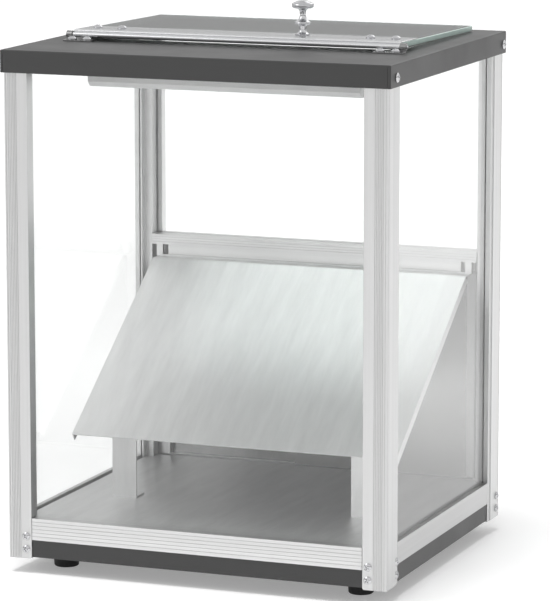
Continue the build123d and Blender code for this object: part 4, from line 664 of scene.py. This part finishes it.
# ---- Lamp housing, lamp and wiring under the tray ---------------------------------------------
# A folded box in pale grey paint hangs from studs, with a bright reflector, a quartz tube in
# two ceramic holders, and a light window beneath; a duct in the same paint leads to the rear.
# The paint's slightly darker edge colour is painted shade along the rounded edges.
grey_coat = skin("grey_coat", grey(0.90), grey(0.94), 0.38, COAT_PEBBLES, COAT_PEEL, grey(0.88))
dress(grey_coat, "lamp_housing", "wiring_duct")
reflector_sheet = metal("reflector_sheet", grey(0.76), grey(0.88), 0.16, (ALONG, 700, 700))
dress(reflector_sheet, "reflector")
quartz = glass("quartz", (0.97, 0.97, 0.96), 0.12, ior=1.46)
dress(quartz, "lamp_tube")
CLAY = (0.68, 0.66, 0.60)
PALE_CLAY = (0.76, 0.74, 0.69)
# A painted highlight: the ceramic's paler colour along its rounded edges.
CLAY_EDGE_HIGHLIGHT = (0.8, 0.78, 0.74)
holder_ceramic = skin("holder_ceramic", CLAY, PALE_CLAY, 0.5, 700.0, 0.00006, CLAY_EDGE_HIGHLIGHT)
dress(holder_ceramic, "lamp_holders")


# ---- Rear services: rocker switch, cable gland and terminal block ----------------------------
# Black mouldings pressed into the tray's rear skirt; the terminal block sits under the tray.
dress(black_moulding, "switch_body", "switch_rocker", "cable_gland", "terminal_block")


# ---- Hinge: polished steel rod between two fixed brackets on the tray ------------------------
# Each bracket is a flat leaf on the tray, held by two domed screws ahead of the rod, with a
# knuckle at its outer end. The brackets' steel is coloured darker than the rod and the lid's
# strip as painted shade, for the shadow that falls under the barrel.
SHEET_LINES = (ALONG, 1100, 1100)
STEEL_DARK = (0.66, 0.665, 0.68)
STEEL_PALE = (0.80, 0.805, 0.81)
bright_sheet = metal("bright_sheet", STEEL_DARK, STEEL_PALE, 0.24, SHEET_LINES)
dress(bright_sheet, "hinge_rod")
bracket_sheet_shaded = metal("bracket_sheet_shaded", grey(0.30), grey(0.38), 0.20, SHEET_LINES)
dress(bracket_sheet_shaded, "hinge_bracket_left", "hinge_bracket_right")
LID_HALF = 0.197
LID_DEPTH = 0.250
LID_REAR = 0.178
LID_BASE = 0.5959
LID_TILT = math.radians(0.9)
HINGE_AHEAD = 0.0045
HINGE_RISE = 0.0017
BARREL_HALF = 0.1965
LEAF_START = 0.168
LEAF_END = 0.204
LEAF = 0.0015


def on_lid(x, y, rise):
    """Points in the lid's own plane: y runs back from its rear edge, rise along its normal."""
    x, y, rise = np.broadcast_arrays(x, y, rise)
    back = LID_REAR + y * math.cos(LID_TILT) + rise * math.sin(LID_TILT)
    up = LID_BASE - y * math.sin(LID_TILT) + rise * math.cos(LID_TILT)
    return np.stack([x, back, up], axis=-1)


hinge = on_lid(0.0, -LID_DEPTH - HINGE_AHEAD, HINGE_RISE)
BRACKET_SCREW_AHEAD = 0.0086
BRACKET_SCREW_INNER = 0.0081
BRACKET_SCREW_OUTER = 0.0096
BRACKET_SCREW_LENGTH = 0.0061
bracket_y = hinge[1] - BRACKET_SCREW_AHEAD
bracket_places = [
    ((side * x, bracket_y, TRAY_TOP + LEAF), (0, 0, 1), 15 + 300 * x)
    for side in (-1, 1)
    for x in (LEAF_START + BRACKET_SCREW_INNER, LEAF_END - BRACKET_SCREW_OUTER)
]
LID_SCREW_HEAD = 0.0106
LID_SCREW_RISE = 0.0040
BRACKET_SCREW = (LID_SCREW_HEAD, LID_SCREW_RISE, BRACKET_SCREW_LENGTH)
screws("bracket_screws_heads", bracket_places, *BRACKET_SCREW, "cabinet")


# ---- Lid: glass with a polished strip along its front edge ------------------------------------
# The strip rolls into the hinge barrel and is held by four screws; a turned knob stands behind
# the hinge line, and two clear pads keep the glass off the tray.
lid_sheet = glass("lid_sheet", (0.58, 0.62, 0.605), 0.0)
GREEN = (0.62, 0.84, 0.76)
PALE_GREEN = (0.74, 0.90, 0.84)
# Painted highlight: a near-white colour laid along the glass edge's arrises.
ARRIS_HIGHLIGHT = (0.95, 0.99, 0.97)
lid_edge = skin("lid_edge", GREEN, PALE_GREEN, 0.34, 1200.0, 0.00003, ARRIS_HIGHLIGHT, 0.0010)
GLASS = 0.006
ARRIS = 0.0006
STRIP = 0.0012
STRIP_DEPTH = 0.052
CORNER_ROUND = 0.003


def rounded_sheet(x0, x1, y0, y1, low, high, arris, rounds):
    """Sheet on the lid: its outline has arcs for corners, and its rim is four rows of points.

    The rows lie at the lower face and just above it, just below the upper face and at it. The
    first and last step in by the arris, and each face is one polygon across. The rim's faces
    have finish 1 and the two large faces finish 0.
    """
    turn = np.linspace(0, np.pi / 2, 9)
    centres = [(x1, y1), (x0, y1), (x0, y0), (x1, y0)]
    outline, inward = [], []
    for corner, ((x, y), r) in enumerate(zip(centres, rounds)):
        angle = turn + corner * np.pi / 2
        away = np.stack([np.cos(angle), np.sin(angle)], axis=-1)
        middle = np.array([x, y]) - r * np.sign(away.mean(axis=0))
        outline.append(middle + r * away)
        square = np.broadcast_to(np.sign(away.mean(axis=0)), away.shape)
        inward.append(-square if r < arris else -away)
    outline, inward = np.concatenate(outline), np.concatenate(inward)
    rim = [(arris, low), (0.0, low + arris), (0.0, high - arris), (arris, high)]
    count = len(outline)
    rows = [on_lid(*(outline + step * inward).T, rise) for step, rise in rim]
    faces = grid_faces(len(rows), count)
    finish = [1] * len(faces) + [0, 0]
    last = (len(rows) - 1) * count
    faces += [list(range(count))[::-1], list(range(last, last + count))]
    return np.stack(rows), faces, finish


sheet = (-LID_HALF, LID_HALF, -LID_DEPTH, 0.0, 0.0, GLASS, ARRIS)
points, faces, finish = rounded_sheet(*sheet, [CORNER_ROUND] * 4)
make_piece(
    "lid_glass_sheet",
    points,
    faces,
    "lid",
    ["lid_glass"],
    [lid_sheet, lid_edge],
    finish,
    crease=20,
)


def arc(start, middle, end, steps):
    """Points at equal turns on the circle through three points, from the first to the last.

    Its centre is where the perpendicular bisectors of the three points' chords meet.
    """
    (ax, ay), (bx, by), (cx, cy) = start, middle, end
    d = 2 * (ax * (by - cy) + bx * (cy - ay) + cx * (ay - by))
    a2, b2, c2 = ax**2 + ay**2, bx**2 + by**2, cx**2 + cy**2
    x = (a2 * (by - cy) + b2 * (cy - ay) + c2 * (ay - by)) / d
    y = (a2 * (cx - bx) + b2 * (ax - cx) + c2 * (bx - ax)) / d
    first, through, last = (math.atan2(q - y, p - x) for p, q in (start, middle, end))
    turn = (last - first) % (2 * math.pi)
    if (through - first) % (2 * math.pi) > turn:
        turn -= 2 * math.pi
    angle = first + turn * np.linspace(0, 1, steps)
    radius = math.hypot(ax - x, ay - y)
    return np.stack([x + radius * np.cos(angle), y + radius * np.sin(angle)], axis=-1)


# The strip's plate, and ahead of it the fold that goes down and rolls round the hinge rod. The
# fold's section is a closed line of (distance back, rise), which runs along the lid's width.
STRIP_ARRIS = 0.0003
SHARP = 0.0004
top = GLASS + STRIP
plate = (-LID_HALF, LID_HALF, -LID_DEPTH, STRIP_DEPTH - LID_DEPTH, GLASS, top, STRIP_ARRIS)
points, faces, _ = rounded_sheet(*plate, [CORNER_ROUND, CORNER_ROUND, SHARP, SHARP])
BARREL = 0.003
FOLD_ROUND = 0.0016
# The share of a round by which its middle lies in from the corner, and the small step by which
# the section's line keeps clear of itself and sinks into the glass.
ROUND_MIDDLE = 0.293
HAIR = 0.0001
fold = BARREL - STRIP - HINGE_AHEAD
inner = fold + STRIP
meet = HINGE_RISE + math.sqrt(BARREL**2 - (fold + HINGE_AHEAD) ** 2)
crest = (-HINGE_AHEAD - BARREL, HINGE_RISE)
bend_in = ROUND_MIDDLE * FOLD_ROUND
section = np.concatenate([
    [(SHARP, top)],
    arc((fold + FOLD_ROUND, top), (fold + bend_in, top - bend_in), (fold, top - FOLD_ROUND), 7),
    [(fold, meet + 4 * HAIR), (fold + 3 * HAIR, meet - HAIR)],
    arc((fold - 2 * HAIR, meet + HAIR), crest, (inner, HINGE_RISE), 33),
    [(inner, GLASS - 2 * HAIR), (SHARP, GLASS - 2 * HAIR)],
])
ends = np.array([-BARREL_HALF, BARREL_HALF])
roll = on_lid(ends[:, None], section[None, :, 0] - LID_DEPTH, section[None, :, 1])
count = len(section)
points = points.reshape(-1, 3)
start = len(points)
faces += grid_faces(2, count, start)
faces += [list(range(start, start + count))[::-1]]
faces += [list(range(start + count, start + 2 * count))]
points = np.concatenate([points, roll.reshape(-1, 3)])
make_piece(
    "lid_strip_sheet",
    points,
    faces,
    "lid",
    ["lid_strip"],
    [bright_sheet],
    crease=32,
)

# Cross-head screws through the strip, and the turned knob on its stud.
LID_SCREW_BACK = 0.0275
LID_SCREW_INNER = 0.0467
LID_SCREW_OUTER = 0.0166
NUT_ROOM = 0.002
lid_out = (0.0, math.sin(LID_TILT), math.cos(LID_TILT))
lid_places = [
    (on_lid(side * x, LID_SCREW_BACK - LID_DEPTH, top), lid_out, 25 + 400 * x)
    for side in (-1, 1)
    for x in (LID_HALF - LID_SCREW_INNER, LID_HALF - LID_SCREW_OUTER)
]
screws("lid_screws_heads", lid_places, LID_SCREW_HEAD, LID_SCREW_RISE, top + NUT_ROOM, "lid")

KNOB_X = 0.068
KNOB_BACK = 0.032
KNOB_HALF = 0.0125
KNOB_HEIGHT = 0.03948
KNOB_SIDES = 96
KNOB_STEPS = 12
# Its profile in shares of its radius and height: each run is a straight line or an arc through
# three points.
KNOB_SHARES = [
    [(0.66, 0.0), (0.66, 0.04)],
    [(0.66, 0.04), (0.42, 0.085), (0.32, 0.165)],
    [(0.32, 0.165), (0.32, 0.265)],
    [(0.32, 0.265), (0.43, 0.305), (0.64, 0.315)],
    [(0.64, 0.315), (0.72, 0.355), (0.64, 0.395)],
    [(0.64, 0.395), (0.35, 0.49), (0.28, 0.635)],
    [(0.28, 0.635), (0.38, 0.725), (0.76, 0.765)],
    [(0.76, 0.765), (1.0, 0.845), (0.76, 0.935)],
    [(0.76, 0.935), (0.40, 0.985), (0.0, 1.0)],
]
stud = -top - NUT_ROOM
profile = [(0.0, stud), (SHANK / 2, stud), (SHANK / 2, 0.0)]
for shares in KNOB_SHARES:
    run = [(r * KNOB_HALF, h * KNOB_HEIGHT) for r, h in shares]
    profile += list(arc(*run, KNOB_STEPS)) if len(run) == 3 else run
knob = turned(profile, KNOB_SIDES)
base = on_lid(KNOB_X, KNOB_BACK - LID_DEPTH, top)
lean = np.array([[1, 0, 0], [0, math.cos(LID_TILT), -math.sin(LID_TILT)], lid_out])
points = base + knob.reshape(-1, 3) @ lean
faces = grid_faces(len(profile), KNOB_SIDES)
make_piece(
    "lid_knob_turned",
    points,
    faces,
    "lid",
    ["lid_knob"],
    [polished],
    crease=40,
)
pad_silicone = glass("pad_silicone", (0.92, 0.93, 0.92), 0.3, ior=1.41)
dress(pad_silicone, "lid_pads")
